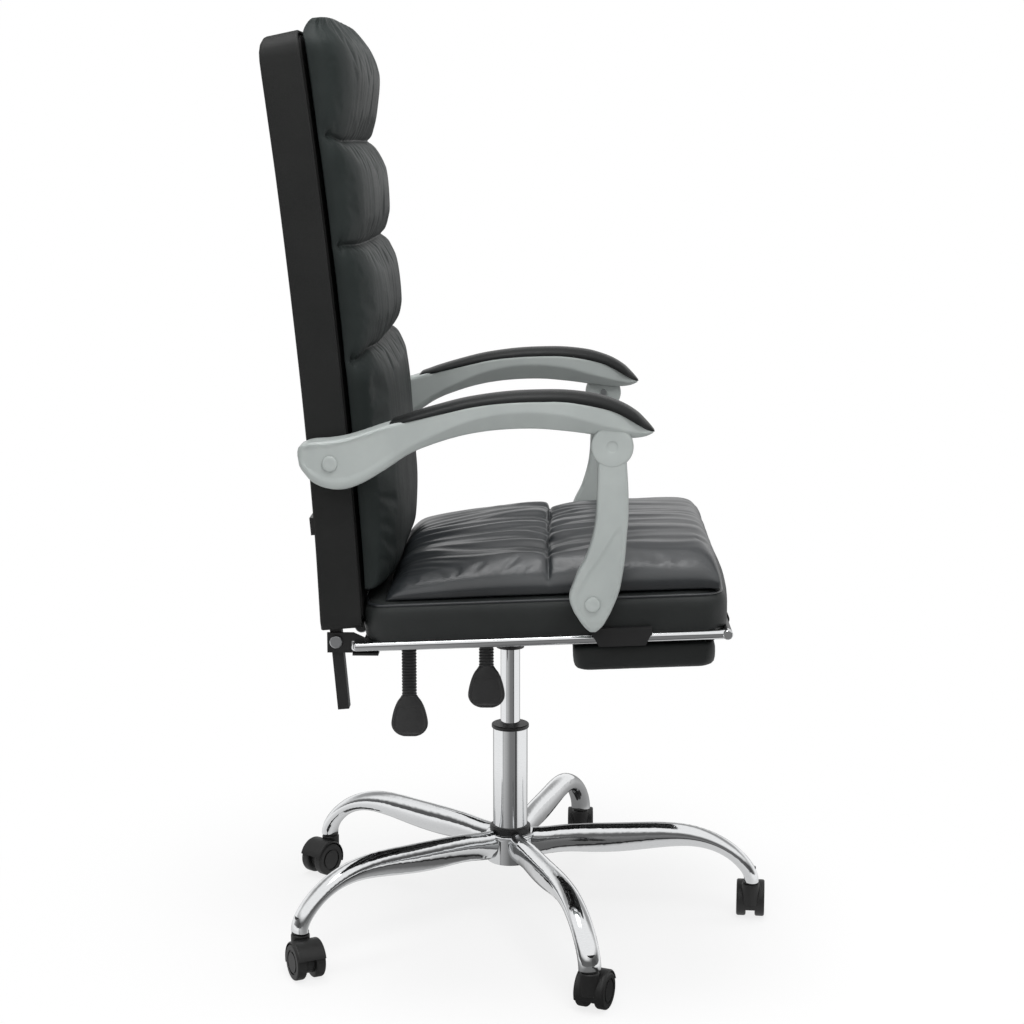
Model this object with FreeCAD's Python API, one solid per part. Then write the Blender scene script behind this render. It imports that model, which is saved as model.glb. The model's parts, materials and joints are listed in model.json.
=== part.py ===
"""Reclining office chair with linkage armrests and a pull-out footrest.

Millimetres. The origin is on the floor on the axis of the gas lift, +Z is up, the chair faces -Y,
and the sitter's right hand side is -X.
"""
import FreeCAD, Part
import os
from math import atan2, cos, degrees, hypot, pi, radians, sin, sqrt, tan

V = FreeCAD.Vector

# Fits shared by all pieces
running_gap = 0.05        # radial, pins and shafts that turn
sliding_gap = 0.10        # radial, rods that slide
seat_gap = 0.3            # rigid pieces that stand beside each other
soft_gap = 0.4            # soft pieces beside rigid ones
overrun = 2.0             # how far a cutting tool runs past a face

# Five-armed base
arm_count = 5
base_turn = 0.5           # degrees, front arm off the chair's front
caster_radius = 352.0     # caster stems from the lift axis
hub_radius = 33.0
hub_bottom = 92.0
hub_height = 44.0
hub_rim_radius = 36.0
hub_rim_height = 9.0
root_height = 39.0        # base arm's depth where it meets the hub
root_width = 26.0
tip_height = 21.0         # base arm's depth at the caster
tip_width = 31.0
arm_axis_height = 121.5   # base arm's axis at the hub
arm_tip_bottom = 60.0     # lower end of the base arm
tube_wall = 1.8

# Gas lift
tube_radius = 25.0
lift_wall = 1.5
tube_bottom = 94.0
tube_length = 197.0
tube_floor = 4.0
collar_radius = 29.5
collar_height = 9.0
bushing_radius = 27.0
bushing_height = 6.0
bushing_sleeve = 76.0
cylinder_radius = 14.0
cylinder_bore = 12.0
cylinder_bottom = 212.0
cylinder_length = 250.0
cylinder_head = 20.0
cylinder_guide = 15.0
taper_length = 60.0
taper_drop = 0.8          # radius lost over the taper
piston_rod_radius = 5.0
piston_rod_length = 149.0
piston_height = 10.0
rod_collar_radius = 9.0
rod_collar_height = 4.0
bearing_radius = 14.0
bearing_height = 6.0
clip_radius = 9.0
clip_height = 1.6
button_radius = 4.0
button_length = 16.0
button_rise = 6.0

# Casters
wheel_radius = 25.0
wheel_width = 14.0
wheel_gap = 6.5           # centre plane of the caster to the wheel
wheel_edge = 3.0
hub_cap_radius = 14.0
hub_cap_depth = 1.5
hood_gap = 1.2
hood_wall = 2.2
web_radius = 17.5
hood_slope = 18.0         # degrees, lower edge of the hood
trail = 20.0
axle_radius = 4.0
stem_radius = 5.5
stem_top = 80.0
stem_foot = 40.0
boss_radius = 13.0
boss_top = 57.0
socket_radius = 7.2
socket_length = 21.0
socket_flange = 12.0
socket_flange_height = 2.0
caster_names = ("front", "left_front", "left_rear", "right_rear", "right_front")
caster_headings = (-5.5, -0.7, 142.0, 208.0, 338.0)   # degrees, stem to axle

# Seat, measured in its own frame: y along the seat, z above its underside
seat_rake = 2.4           # degrees, front edge higher
seat_over_lift = 24.0     # underside of the seat above the cylinder's head
seat_height = cylinder_bottom + cylinder_length + seat_over_lift   # at the lift axis
half_width = 250.0        # seat and back alike
seat_half_width = half_width
seat_front = 289.0
seat_rear = 187.0
base_thickness = 59.0
base_corner = 34.0
base_edge = 8.0           # rounding of the upper edge
base_draw = 3.0           # how far the sides draw in
board_thickness = 12.0
board_inset = 10.0
pad_inset = 9.0
pad_half_width = seat_half_width - pad_inset
pad_front = 286.0
pad_rear = 152.0
pad_seam = 59.0           # sewn seam ahead of the lift axis
pad_crown = 46.0
pad_shoulder = 27.0

# Back, measured in its own frame: depth u towards the rear, height v above the hinge
hinge_y = 225.0
hinge_drop = 13.0         # hinge below the seat's height
hinge_z = seat_height - hinge_drop
back_rake = 4.9           # degrees, leaning back at rest
back_half_width = half_width
shell_bottom = 20.0
shell_top = 789.0
shell_rear = 13.5         # rear face behind the hinge, at its ends
shell_front = 38.0        # front edge ahead of the hinge, at its foot
shell_front_top = 31.0
shell_front_mid = 42.0
shell_rear_mid = 8.5
shell_wall = 4.0
shell_corner = 25.0
back_board_inset = 24.0
back_board_half = back_half_width - back_board_inset
back_board_thickness = 18.0
cushion_inset = 10.0
cushion_half_width = back_half_width - cushion_inset
cushion_bottom = 63.0
cushion_top = 818.0
cushion_depth = 76.0      # fullest crown ahead of the board
first_seam = 648.0        # heights of the sewn channels
second_seam = 515.0
third_seam = 389.0
bar_depth = 15.0          # square side bars of the frame
bar_width = 20.0
bar_inset = 22.3          # outer face of a side bar from the shell's side
bar_reach = back_half_width - bar_inset
bar_foot = 94.0           # below the hinge
bar_top = 272.0
crossbar_height = 20.0
crossbar_bottom = 58.0
fixing_plate_low = 148.0
fixing_plate_height = 23.0
fixing_plate_width = 42.0
fixing_plate_proud = 5.0
fixing_plate_inset = 2.0
screw_radius = 4.0
screw_proud = 1.2

# Seat hinges
hinge_ear = 4.0           # plate thickness
hinge_ear_front = 23.0    # around the hinge axis
hinge_ear_rear = 12.0
hinge_ear_top = 12.0
hinge_ear_foot = 15.0
hinge_lip_reach = 20.0
hinge_lip_length = 34.0
hinge_lip = 3.0
hinge_flange = 34.0
hinge_flange_front = 118.0
hinge_lip_drop = 9.0
pivot_radius = 5.0
pivot_head_radius = 8.5
pivot_head = 5.0

# Armrests, right hand side; x grows outwards from the middle of the chair
rear_pivot_ahead = 3.0           # pivot on the back, ahead of the hinge and above it
rear_pivot_rise = 249.0
knuckle_ahead = 358.5            # from the rear pivot
knuckle_rise = 23.0
strut_pivot_ahead = 113.0        # from the lift axis
strut_pivot_rise = 52.0          # above the seat's height
rear_pivot = (hinge_y - rear_pivot_ahead, hinge_z + rear_pivot_rise)
knuckle = (rear_pivot[0] - knuckle_ahead, rear_pivot[1] + knuckle_rise)
strut_pivot = (-strut_pivot_ahead, seat_height + strut_pivot_rise)
loop_clearance = 1.7             # radial, at the pivot where the linkage is opened
arm_offset = 33.0                # middle of the armrest beyond the back's side
arm_middle = back_half_width + arm_offset
arm_half_width = 28.0
arm_rear_reach = 42.0            # behind the rear pivot
arm_tip_reach = 51.5             # ahead of the knuckle
arm_rear = rear_pivot[0] + arm_rear_reach
arm_length = arm_rear_reach + knuckle_ahead + arm_tip_reach
arm_foot_drop = 33.0             # lowest point below the rear pivot
arm_foot = rear_pivot[1] - arm_foot_drop
arm_height = 115.0
arm_inset = 16.0                 # how far the underside draws in
rest_overhang = 2.0              # arm pad ahead of the armrest's tip
rest_length = 336.0
rest_thickness = 12.5
rest_half_width = 27.0
cap_radius = 10.0
cap_height = 1.6
knuckle_radius = 27.0
knuckle_proud = 22.0             # outer face of the knuckle beyond the armrest's middle
knuckle_width = 27.0
knuckle_outer = arm_middle + knuckle_proud
knuckle_inner = knuckle_outer - knuckle_width
knuckle_pin_radius = 5.0
dimple_radius = 7.0
dimple_depth = 1.2
lug_radius = 22.0
lug_width = 16.0
lug_inner = knuckle_inner - lug_width
strut_foot = 38.0                # below the strut's pivot
strut_width = 66.0
strut_thickness = 26.0
strut_top_offset = 8.0           # strut's middle beyond the armrest's, and its foot within it
strut_foot_offset = 8.0
strut_top_middle = arm_middle + strut_top_offset
strut_foot_middle = arm_middle - strut_foot_offset
spacer_radius = 9.0
bracket_thickness = 4.0
bracket_setback = 37.0           # bracket's outer face within the strut's middle
bracket_face = strut_foot_middle - bracket_setback
bracket_half_length = 28.0
bracket_height = 57.0
bracket_foot = 38.0
strut_pin_radius = 6.0

# Mechanism under the seat, in the seat's frame below its underside
plate_half_width = 88.0
plate_half_length = 105.0
plate_thickness = 3.0
channel_half_width = 45.0
channel_half_length = 80.0
channel_depth = 33.0
socket_tube_radius = 20.0
socket_tube_length = 52.0
tongue_width = 44.0
tongue_reach = 148.0
fulcrum_drop = 26.0
bolt_radius = 3.0
bolt_head_radius = 6.5
bolt_head = 5.0
bolt_grip = 10.0
bolt_x = 70.0
bolt_y = 88.0

# Release levers
lever_radius = 4.0
lever_bend = 14.0
lever_inset = 45.0               # plane of the hanging handles within the seat's side
lever_x = seat_half_width - lever_inset
height_lever_y = 26.6
height_lever_fall = 10.3         # outer run below the end over the button
height_lever_stem = 10.0         # bare rod between the run and the handle
height_neck_length = 16.5
recline_lever_y = 130.0
recline_lever_fall = 24.0        # below the seat's height
recline_lever_rest = seat_height - recline_lever_fall
recline_lever_stem = 14.0
recline_neck_length = 54.0
recline_tip = 62.0               # inner end of the recline rod
paddle_width = 50.0
paddle_length = 58.0
paddle_thickness = 9.0
neck_radius = 8.0
neck_groove = 1.3
rib_pitch = 5.2

# Recline lock: a rod gripped in a tube
lock_x = 75.0
lock_front_y = 5.0               # the tube's pivot
lock_front_drop = 38.0           # below the seat's height
lock_front = (lock_front_y, seat_height - lock_front_drop)
lock_drop = 50.0                 # rear pin below the hinge
lock_tube_radius = 12.0
lock_tube_start = 14.0
lock_tube_length = 122.0
lock_rod_radius = 5.0
lock_rod_start = 60.0
lock_eye_radius = 10.0
lock_eye_width = 10.0
lock_pin_radius = 4.0
lock_loop_clearance = 1.5
lock_ear = 4.0
lock_tab_reach = 7.0
lock_tab_width = 9.0
lock_tab_drop = 5.6              # free travel of the recline rod above the tab

# Pull-out footrest, in the seat's frame
rail_radius = 6.5
rail_inset = 4.0
rail_x = seat_half_width - rail_inset
rail_drop = 8.5
rail_rear = 198.0
crossbar_ahead = 2.0             # front tube's axis ahead of the seat
crossbar_y = seat_front + crossbar_ahead
crossbar_radius = 6.5
guide_front = 192.0
guide_rear = 113.0
guide_slant = 9.0
guide_inner_wall = 17.0          # from the rail's axis
guide_outer_wall = 11.0
guide_inner = rail_x - guide_inner_wall
guide_outer = rail_x + guide_outer_wall
guide_foot = 17.5
guide_lip = 7.0
foot_inset = 31.0
foot_half_width = rail_x - foot_inset
foot_setback = 15.0              # behind the front tube's axis
foot_front = crossbar_y - foot_setback
foot_rear = 87.0
foot_top = 18.0
foot_board = 8.0
foot_cushion = 32.0
foot_corner = 9.0
foot_eye_wall = 2.5
foot_eye_radius = crossbar_radius + foot_eye_wall
foot_eye_width = 24.0
foot_eye_x = 150.0


def radial(angle):
    """Unit vector in the floor plane at an angle in degrees."""
    return V(cos(radians(angle)), sin(radians(angle)), 0)


def box(low, high):
    """Box between two corners."""
    size = V(*high) - V(*low)
    return Part.makeBox(size.x, size.y, size.z, V(*low))


def rod(radius, start, end):
    """Round bar from one point to another."""
    start, end = V(*start), V(*end)
    return Part.makeCylinder(radius, (end - start).Length, start, end - start)


def ring(outer, inner, low, high):
    """Upright ring about the lift axis."""
    bore = rod(inner, (0, 0, low - overrun), (0, 0, high + overrun))
    return rod(outer, (0, 0, low), (0, 0, high)).cut(bore)


def fuse(*shapes):
    """One clean solid from touching or overlapping ones."""
    whole = shapes[0].multiFuse(list(shapes[1:]))
    return whole.removeSplitter()


def mirrored(shape):
    """The same piece on the other side of the chair."""
    return shape.mirror(V(0, 0, 0), V(1, 0, 0))


def pair(shape):
    """A piece and its mirror image, as separate solids."""
    return Part.makeCompound([shape, mirrored(shape)])


def polygon(points):
    """Closed flat outline through 3-D points."""
    points = [V(*p) for p in points]
    return Part.makePolygon(points + points[:1])


def plate(points, depth):
    """Flat outline through 3-D points, thickened by a vector."""
    return Part.Face(polygon(points)).extrude(V(*depth))


def rounded(corners, radii):
    """Closed wire of lines and tangent arcs around 3-D corner points."""
    corners = [V(*c) for c in corners]
    cuts = []
    for i, here in enumerate(corners):
        before, after = corners[i - 1] - here, corners[(i + 1) % len(corners)] - here
        before.normalize()
        after.normalize()
        half = before.getAngle(after) / 2
        reach = radii[i] / tan(half)
        inward = (before + after).normalize()
        middle = here + inward * (radii[i] / sin(half) - radii[i])
        cuts.append((here + before * reach, middle, here + after * reach))
    edges = []
    for i, (start, middle, end) in enumerate(cuts):
        edges.append(Part.LineSegment(cuts[i - 1][2], start).toShape())
        edges.append(Part.Arc(start, middle, end).toShape())
    return Part.Wire(edges)


def loft(wires, straight=False):
    """Closed solid through a row of like wires."""
    return Part.makeLoft(wires, True, straight)


def bent_rod(points, radius, bend):
    """Round rod along straight runs joined by tangent arcs."""
    points = [V(*p) for p in points]
    edges = []
    last = points[0]
    for before, here, after in zip(points, points[1:], points[2:]):
        back, on = (before - here).normalize(), (after - here).normalize()
        half = back.getAngle(on) / 2
        reach = bend / tan(half)
        middle = here + (back + on).normalize() * (bend / sin(half) - bend)
        edges.append(Part.LineSegment(last, here + back * reach).toShape())
        edges.append(Part.Arc(here + back * reach, middle, here + on * reach).toShape())
        last = here + on * reach
    edges.append(Part.LineSegment(last, points[-1]).toShape())
    section = Part.Wire(Part.makeCircle(radius, points[0], points[1] - points[0]))
    return Part.Wire(edges).makePipeShell([section], True, False)


def seat_point(y, z):
    """Chair coordinates of a point given along and above the seat."""
    a = radians(seat_rake)
    return y * cos(a) + z * sin(a), seat_height + z * cos(a) - y * sin(a)


def in_seat(y, z):
    """Seat coordinates of a point given in the chair's frame."""
    a = radians(seat_rake)
    return y * cos(a) - (z - seat_height) * sin(a), y * sin(a) + (z - seat_height) * cos(a)


def on_seat(shape):
    """Moves a shape from the seat's frame to the chair's."""
    moved = shape.copy()
    moved.rotate(V(0, 0, 0), V(1, 0, 0), -seat_rake)
    moved.translate(V(0, 0, seat_height))
    return moved


def on_back(shape):
    """Moves a shape from the back's frame to the chair's."""
    moved = shape.copy()
    moved.rotate(V(0, 0, 0), V(1, 0, 0), -back_rake)
    moved.translate(V(0, hinge_y, hinge_z))
    return moved


def in_back(y, z):
    """Depth and height of a chair point in the back's frame."""
    a = radians(back_rake)
    dy, dz = y - hinge_y, z - hinge_z
    return dy * cos(a) - dz * sin(a), dy * sin(a) + dz * cos(a)


def base_hub():
    """Welded steel hub with a rolled rim, bored for the lift tube."""
    top = hub_bottom + hub_height
    body = rod(hub_radius, (0, 0, hub_bottom), (0, 0, top))
    rim = rod(hub_rim_radius, (0, 0, top - hub_rim_height), (0, 0, top))
    rim = rim.makeFillet(hub_rim_height / 2 - running_gap, rim.Edges)
    bore = rod(tube_radius, (0, 0, hub_bottom - overrun), (0, 0, top + overrun))
    return fuse(body, rim).cut(bore)


# One row per section of a base arm: reach along the arm, rise above its axis at the hub, turn of the
# section downwards in degrees, and how far depth and width have gone from the root's to the tip's
base_arm_shares = (
    (0.060, 0.000, 0, 0.00, 0.00),
    (0.205, 0.025, 0, -0.10, 0.10),
    (0.335, 0.050, 1, -0.24, 0.25),
    (0.485, 0.075, 2, -0.20, 0.40),
    (0.635, 0.130, 1, 0.10, 0.60),
    (0.740, 0.110, 10, 0.42, 0.80),
    (0.828, -0.010, 26, 0.72, 0.95),
    (0.902, -0.225, 42, 0.90, 1.08),
    (0.960, -0.510, 58, 0.97, 1.08),
    (0.992, -0.765, 72, 1.00, 1.04),
    (1.003, -1.000, 90, 1.00, 1.00),
)
rim_points = 12


def oval(reach, height, turn, depth, width):
    """Closed oval section of a base arm in its own upright plane."""
    a = radians(turn)
    points = []
    for i in range(rim_points):
        t = 2 * pi * i / rim_points
        up = depth / 2 * cos(t)
        points.append(V(reach + up * sin(a), width / 2 * sin(t), height + up * cos(a)))
    curve = Part.BSplineCurve()
    curve.interpolate(points, PeriodicFlag=True)
    return Part.Wire(curve.toShape())


def base_arm_solid(inset):
    """One base arm along +X, shrunk by a wall."""
    drop = arm_axis_height - arm_tip_bottom
    sections = []
    for reach, rise, turn, depth_share, width_share in base_arm_shares:
        depth = root_height + depth_share * (tip_height - root_height) - 2 * inset
        width = root_width + width_share * (tip_width - root_width) - 2 * inset
        sections.append(oval(reach * caster_radius, arm_axis_height + rise * drop, turn, depth, width))
    return loft(sections)


def base_arms():
    """Five bent oval tubes, each bored at its tip for a caster socket."""
    arm = base_arm_solid(0)
    hollow_end = caster_radius - socket_flange - socket_radius
    hollow = base_arm_solid(tube_wall).common(box((0, -tip_width, 0), (hollow_end, tip_width, seat_height)))
    arm = arm.cut(hollow)
    arm = arm.cut(rod(hub_radius, (0, 0, 0), (0, 0, seat_height))).cut(base_hub())
    tip = V(caster_radius, 0, 0)
    bore = Part.makeCylinder(socket_radius, socket_length + overrun, tip + V(0, 0, arm_tip_bottom - overrun))
    arm = arm.cut(bore)
    arms = []
    for angle in base_angles():
        turned = arm.copy()
        turned.rotate(V(0, 0, 0), V(0, 0, 1), angle)
        arms.append(turned)
    return Part.makeCompound(arms)


def base_angles():
    """Directions of the base arms, front first, then towards the sitter's left."""
    return [base_turn - 90 + i * 360 / arm_count for i in range(arm_count)]


def caster_sockets():
    """Plastic sleeves that take the caster stems."""
    sleeves = []
    for angle in base_angles():
        foot = radial(angle) * caster_radius
        low = arm_tip_bottom - socket_flange_height
        sleeve = Part.makeCylinder(socket_radius, socket_length + socket_flange_height, foot + V(0, 0, low))
        flange = Part.makeCylinder(socket_flange, socket_flange_height, foot + V(0, 0, low))
        depth = stem_top - low + overrun
        bore = Part.makeCylinder(stem_radius + running_gap, depth, foot + V(0, 0, low - overrun))
        sleeves.append(fuse(sleeve, flange).cut(bore))
    return Part.makeCompound(sleeves)


def base_collar():
    """Black ring that closes the joint of hub and lift tube."""
    low = hub_bottom + hub_height
    collar = ring(collar_radius, tube_radius, low, low + collar_height)
    upper = [e for e in collar.Edges if e.BoundBox.ZMin > low + collar_height / 2]
    outer = [e for e in upper if e.BoundBox.XMax > collar_radius - overrun]
    return collar.makeFillet(collar_height / 4, outer)


def lift_outer_tube():
    """Chromed outer tube of the gas lift with its floor."""
    inside, low = tube_radius - lift_wall, tube_bottom
    tube = ring(tube_radius, inside, low, low + tube_length)
    floor = ring(inside, piston_rod_radius + running_gap, low, low + tube_floor)
    return fuse(tube, floor)


def lift_guide_bushing():
    """Black guide ring at the top of the tube with its inner sleeve."""
    top = tube_bottom + tube_length
    flange = rod(bushing_radius, (0, 0, top), (0, 0, top + bushing_height))
    flange = flange.makeFillet(bushing_height / 4, flange.Edges)
    foot, head = top - bushing_sleeve, top + bushing_height
    sleeve = rod(tube_radius - lift_wall, (0, 0, foot), (0, 0, top + bushing_height / 2))
    bore = rod(cylinder_radius + sliding_gap, (0, 0, foot - overrun), (0, 0, head + overrun))
    return fuse(flange, sleeve).cut(bore)


def lift_thrust_bearing():
    """Bearing that lets the piston rod turn on the tube's floor."""
    low = tube_bottom + tube_floor
    return ring(bearing_radius, piston_rod_radius + running_gap, low, low + bearing_height)


def lift_piston_rod():
    """Piston rod with its shoulder on the bearing and its piston in the cylinder."""
    low = tube_bottom - clip_height - running_gap
    shoulder = tube_bottom + tube_floor + bearing_height + running_gap
    top = low + piston_rod_length
    body = rod(piston_rod_radius, (0, 0, low), (0, 0, top))
    collar = rod(rod_collar_radius, (0, 0, shoulder), (0, 0, shoulder + rod_collar_height))
    piston = rod(cylinder_bore - sliding_gap, (0, 0, top - piston_height), (0, 0, top))
    return fuse(body, collar, piston)


def lift_rod_clip():
    """Retaining clip under the tube's floor."""
    top = tube_bottom - running_gap
    return ring(clip_radius, piston_rod_radius, top - clip_height, top)


def cylinder_body():
    """Outer form of the lift cylinder with its tapered head."""
    top = cylinder_bottom + cylinder_length
    foot = V(0, 0, top - taper_length)
    straight = rod(cylinder_radius, (0, 0, cylinder_bottom), foot)
    taper = Part.makeCone(cylinder_radius, cylinder_radius - taper_drop, taper_length, foot)
    return fuse(straight, taper)


def lift_cylinder():
    """Gas cylinder: hollow, with a rod guide at its foot and a bore for the release button."""
    top = cylinder_bottom + cylinder_length
    head = (0, 0, top - cylinder_head)
    chamber = rod(cylinder_bore, (0, 0, cylinder_bottom + cylinder_guide), head)
    rod_hole = rod(piston_rod_radius + sliding_gap, (0, 0, cylinder_bottom - overrun), head)
    button_hole = rod(button_radius + running_gap, head, (0, 0, top + overrun))
    return cylinder_body().cut(chamber).cut(rod_hole).cut(button_hole)


def lift_release_button():
    """Pin in the head of the cylinder that opens its valve."""
    top = cylinder_bottom + cylinder_length + button_rise
    return rod(button_radius, (0, 0, top - button_length), (0, 0, top))


def caster_wheel(side):
    """One wheel of a caster on the side given by 1 or -1, about an axle along Y at the origin."""
    inner, outer = wheel_gap, wheel_gap + wheel_width
    wheel = rod(wheel_radius, (0, side * inner, 0), (0, side * outer, 0))
    wheel = wheel.makeFillet(wheel_edge, wheel.Edges)
    beyond = (0, side * (outer + overrun), 0)
    recess = rod(hub_cap_radius + wheel_edge, (0, side * (outer - hub_cap_depth), 0), beyond)
    recess = recess.cut(rod(hub_cap_radius, (0, 0, 0), beyond))
    bore = rod(axle_radius + running_gap, (0, 0, 0), (0, side * (outer - wheel_edge), 0))
    return wheel.cut(recess).cut(bore)


def caster_hood():
    """Hood over both wheels with its web and the boss for the stem, trailing along +X."""
    reach = wheel_gap + wheel_width
    outer = wheel_radius + hood_gap + hood_wall
    axle = V(trail, 0, wheel_radius)
    hood = rod(outer, (trail, -reach, wheel_radius), (trail, reach, wheel_radius))
    hood = hood.makeFillet(wheel_edge, hood.Edges)
    boss = rod(boss_radius, (0, 0, wheel_radius), (0, 0, boss_top))
    boss = boss.makeFillet(wheel_edge, [e for e in boss.Edges if e.BoundBox.ZMin > boss_top - overrun])
    web_face = wheel_gap - running_gap * 10
    hood = fuse(hood, boss)
    for side in (1, -1):
        wheel_room = rod(wheel_radius + hood_gap, (trail, side * web_face, wheel_radius),
                         (trail, side * (reach + overrun), wheel_radius))
        hood = hood.cut(wheel_room)
    lower = box((trail - 2 * outer, -2 * outer, -outer), (trail + 2 * outer, 2 * outer, wheel_radius))
    lower.rotate(axle, V(0, 1, 0), -hood_slope)
    web = rod(web_radius, (trail, -web_face, wheel_radius), (trail, web_face, wheel_radius))
    hood = fuse(hood.cut(lower), web)
    stem_hole = rod(stem_radius, (0, 0, stem_foot), (0, 0, stem_top))
    axle_hole = rod(axle_radius, (trail, -outer, wheel_radius), (trail, outer, wheel_radius))
    return hood.cut(stem_hole).cut(axle_hole)


def caster_pins():
    """Steel stem and axle of a caster, as separate solids."""
    reach = wheel_gap + wheel_width - wheel_edge - running_gap
    stem = rod(stem_radius, (0, 0, stem_foot), (0, 0, stem_top - running_gap))
    axle = rod(axle_radius, (trail, -reach, wheel_radius), (trail, reach, wheel_radius))
    return Part.makeCompound([stem, axle])


def place_caster(shape, index):
    """Turns a caster piece to its heading and stands it under its base arm."""
    placed = shape.copy()
    placed.rotate(V(0, 0, 0), V(0, 0, 1), caster_headings[index])
    placed.translate(radial(base_angles()[index]) * caster_radius)
    return placed


def seat_mechanism():
    """Welded steel mechanism: plate, channel, lift socket, lock ears and lever fulcrum."""
    top = -plate_thickness
    plate_part = box((-plate_half_width, -plate_half_length, top), (plate_half_width, plate_half_length, 0))
    tongue = box((0, plate_half_length - overrun, top), (tongue_width, tongue_reach, 0))
    channel = box((-channel_half_width, -channel_half_length, -channel_depth),
                  (channel_half_width, channel_half_length, top))
    inside = box((plate_thickness - channel_half_width, plate_thickness - channel_half_length,
                  plate_thickness - channel_depth),
                 (channel_half_width - plate_thickness, channel_half_length - plate_thickness, top))
    y, _ = in_seat(recline_lever_y, recline_lever_rest)
    fulcrum = box((tongue_width / 2, y - 3 * lever_radius, top - fulcrum_drop),
                  (tongue_width / 2 + plate_thickness, y + 3 * lever_radius, top))
    body = on_seat(fuse(plate_part, tongue, channel.cut(inside), fulcrum))
    head = cylinder_bottom + cylinder_length
    socket = rod(socket_tube_radius, (0, 0, head - socket_tube_length), (0, 0, head))
    body = fuse(body, socket).cut(cylinder_body())
    for rod_hole in (lever_hole(channel_half_width, height_lever_rest(), 0),
                     lever_hole(-tongue_width / 2, recline_lever_rest, recline_lever_y)):
        body = body.cut(rod_hole)
    body = fuse(body, *lock_ears())
    for x in (-bolt_x, bolt_x):
        for y in (-bolt_y, bolt_y):
            hole = on_seat(rod(bolt_radius, (x, y, -channel_depth), (x, y, overrun)))
            body = body.cut(hole)
    return body


def height_lever_rest():
    """Height of the seat height lever's rod, just above the release button."""
    return cylinder_bottom + cylinder_length + button_rise + seat_gap + lever_radius


def lever_hole(x, z, y):
    """Close hole for a lever rod through a wall at x, on the sitter's right."""
    wall = plate_thickness + 2 * overrun
    return rod(lever_radius + seat_gap, (-x - overrun, y, z), (-x + wall, y, z))


def lock_ears():
    """Two ears with a pin across them that carry the lock tube."""
    y, z = lock_front
    _, top = seat_point(y, -plate_thickness)
    half = lock_eye_width / 2 + seat_gap
    ears = []
    for low in (lock_x - half - lock_ear, lock_x + half):
        ear = box((low, y - lock_eye_radius, z), (low + lock_ear, y + lock_eye_radius, top + running_gap))
        ears.append(fuse(ear, rod(lock_eye_radius, (low, y, z), (low + lock_ear, y, z))))
    pin = rod(lock_pin_radius, (lock_x - half - lock_ear, y, z), (lock_x + half + lock_ear, y, z))
    return ears + [pin]


def mechanism_bolts():
    """Four bolts that hold the mechanism to the seat board."""
    bolts = []
    for x in (-bolt_x, bolt_x):
        for y in (-bolt_y, bolt_y):
            shank = rod(bolt_radius, (x, y, -plate_thickness), (x, y, bolt_grip))
            head = rod(bolt_head_radius, (x, y, -plate_thickness - bolt_head), (x, y, -plate_thickness))
            bolts.append(on_seat(fuse(shank, head)))
    return Part.makeCompound(bolts)


def rounded_plan(inset, z):
    """Plan outline of the seat base at a height, drawn in by an inset."""
    x, front, rear = seat_half_width - inset, -seat_front + inset, seat_rear - inset
    corners = [(-x, front, z), (x, front, z), (x, rear, z), (-x, rear, z)]
    return rounded(corners, [base_corner] * len(corners))


def board_box(gap):
    """Seat board's outline with a gap all round."""
    x = seat_half_width - board_inset + gap
    front, rear = 2 * board_inset - seat_front - gap, seat_rear - board_inset + gap
    return box((-x, front, 0), (x, rear, board_thickness + gap))


def bracket_shape(gap):
    """Angle bracket on the seat board that carries a strut, on the right hand side."""
    y, _ = in_seat(*strut_pivot)
    low, high = y - bracket_half_length - gap, y + bracket_half_length + gap
    face, foot_top = bracket_face + gap, board_thickness + bracket_thickness + gap
    corner = (-face, low, board_thickness)
    upright = box(corner, (bracket_thickness + gap - bracket_face, high, bracket_height + gap))
    foot = box(corner, (bracket_foot + gap - bracket_face, high, foot_top))
    return fuse(upright, foot)


def strut_bolt(gap):
    """Pivot bolt from the bracket into the strut, on the right hand side, in the chair's frame."""
    y, z = strut_pivot
    inner = bracket_face - bracket_thickness
    outer = strut_foot_middle + strut_thickness / 2 - cap_height - strut_pin_radius
    return rod(strut_pin_radius + gap, (-inner, y, z), (-outer, y, z))


def hinge_bolt():
    """Hinge bolt through a seat ear into a side bar of the back, on the right hand side."""
    face = bar_reach + seat_gap + hinge_ear
    shank = rod(pivot_radius, (bar_width / 2 - bar_reach, hinge_y, hinge_z), (-face, hinge_y, hinge_z))
    head = rod(pivot_head_radius, (-face, hinge_y, hinge_z), (-face - pivot_head, hinge_y, hinge_z))
    head = head.makeFillet(pivot_head / 3, head.Edges)
    return fuse(shank, head)


def pivot_bolts():
    """Hinge bolts of the back and pivot bolts of the struts."""
    right = [hinge_bolt(), strut_bolt(0)]
    return Part.makeCompound(right + [mirrored(b) for b in right])


def arm_brackets():
    """Steel angle brackets on the seat board that carry the struts."""
    bracket = on_seat(bracket_shape(0)).cut(strut_bolt(0))
    return pair(bracket)


def seat_board():
    """Plywood board under the seat, bored for the mechanism bolts."""
    board = on_seat(board_box(0))
    for bolt in mechanism_bolts().Solids:
        board = board.cut(bolt)
    return board


# Height share of the base cushion and its inset as shares of the drawn-in edge
base_cushion_shares = ((0.0, 0.9), (0.3, 0.25), (0.6, 0.0), (0.86, 0.6), (1.0, 2.6))


def seat_base_cushion():
    """Upholstered base of the seat, hollowed for the board and the brackets."""
    wires = []
    for height, inset in base_cushion_shares:
        wires.append(rounded_plan(inset * base_draw, height * base_thickness))
    cushion = loft(wires).cut(board_box(0))
    cushion = cushion.cut(bracket_shape(0)).cut(mirrored(bracket_shape(0)))
    cushion = on_seat(cushion)
    bolt = strut_bolt(soft_gap)
    return cushion.cut(bolt).cut(mirrored(bolt))


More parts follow.
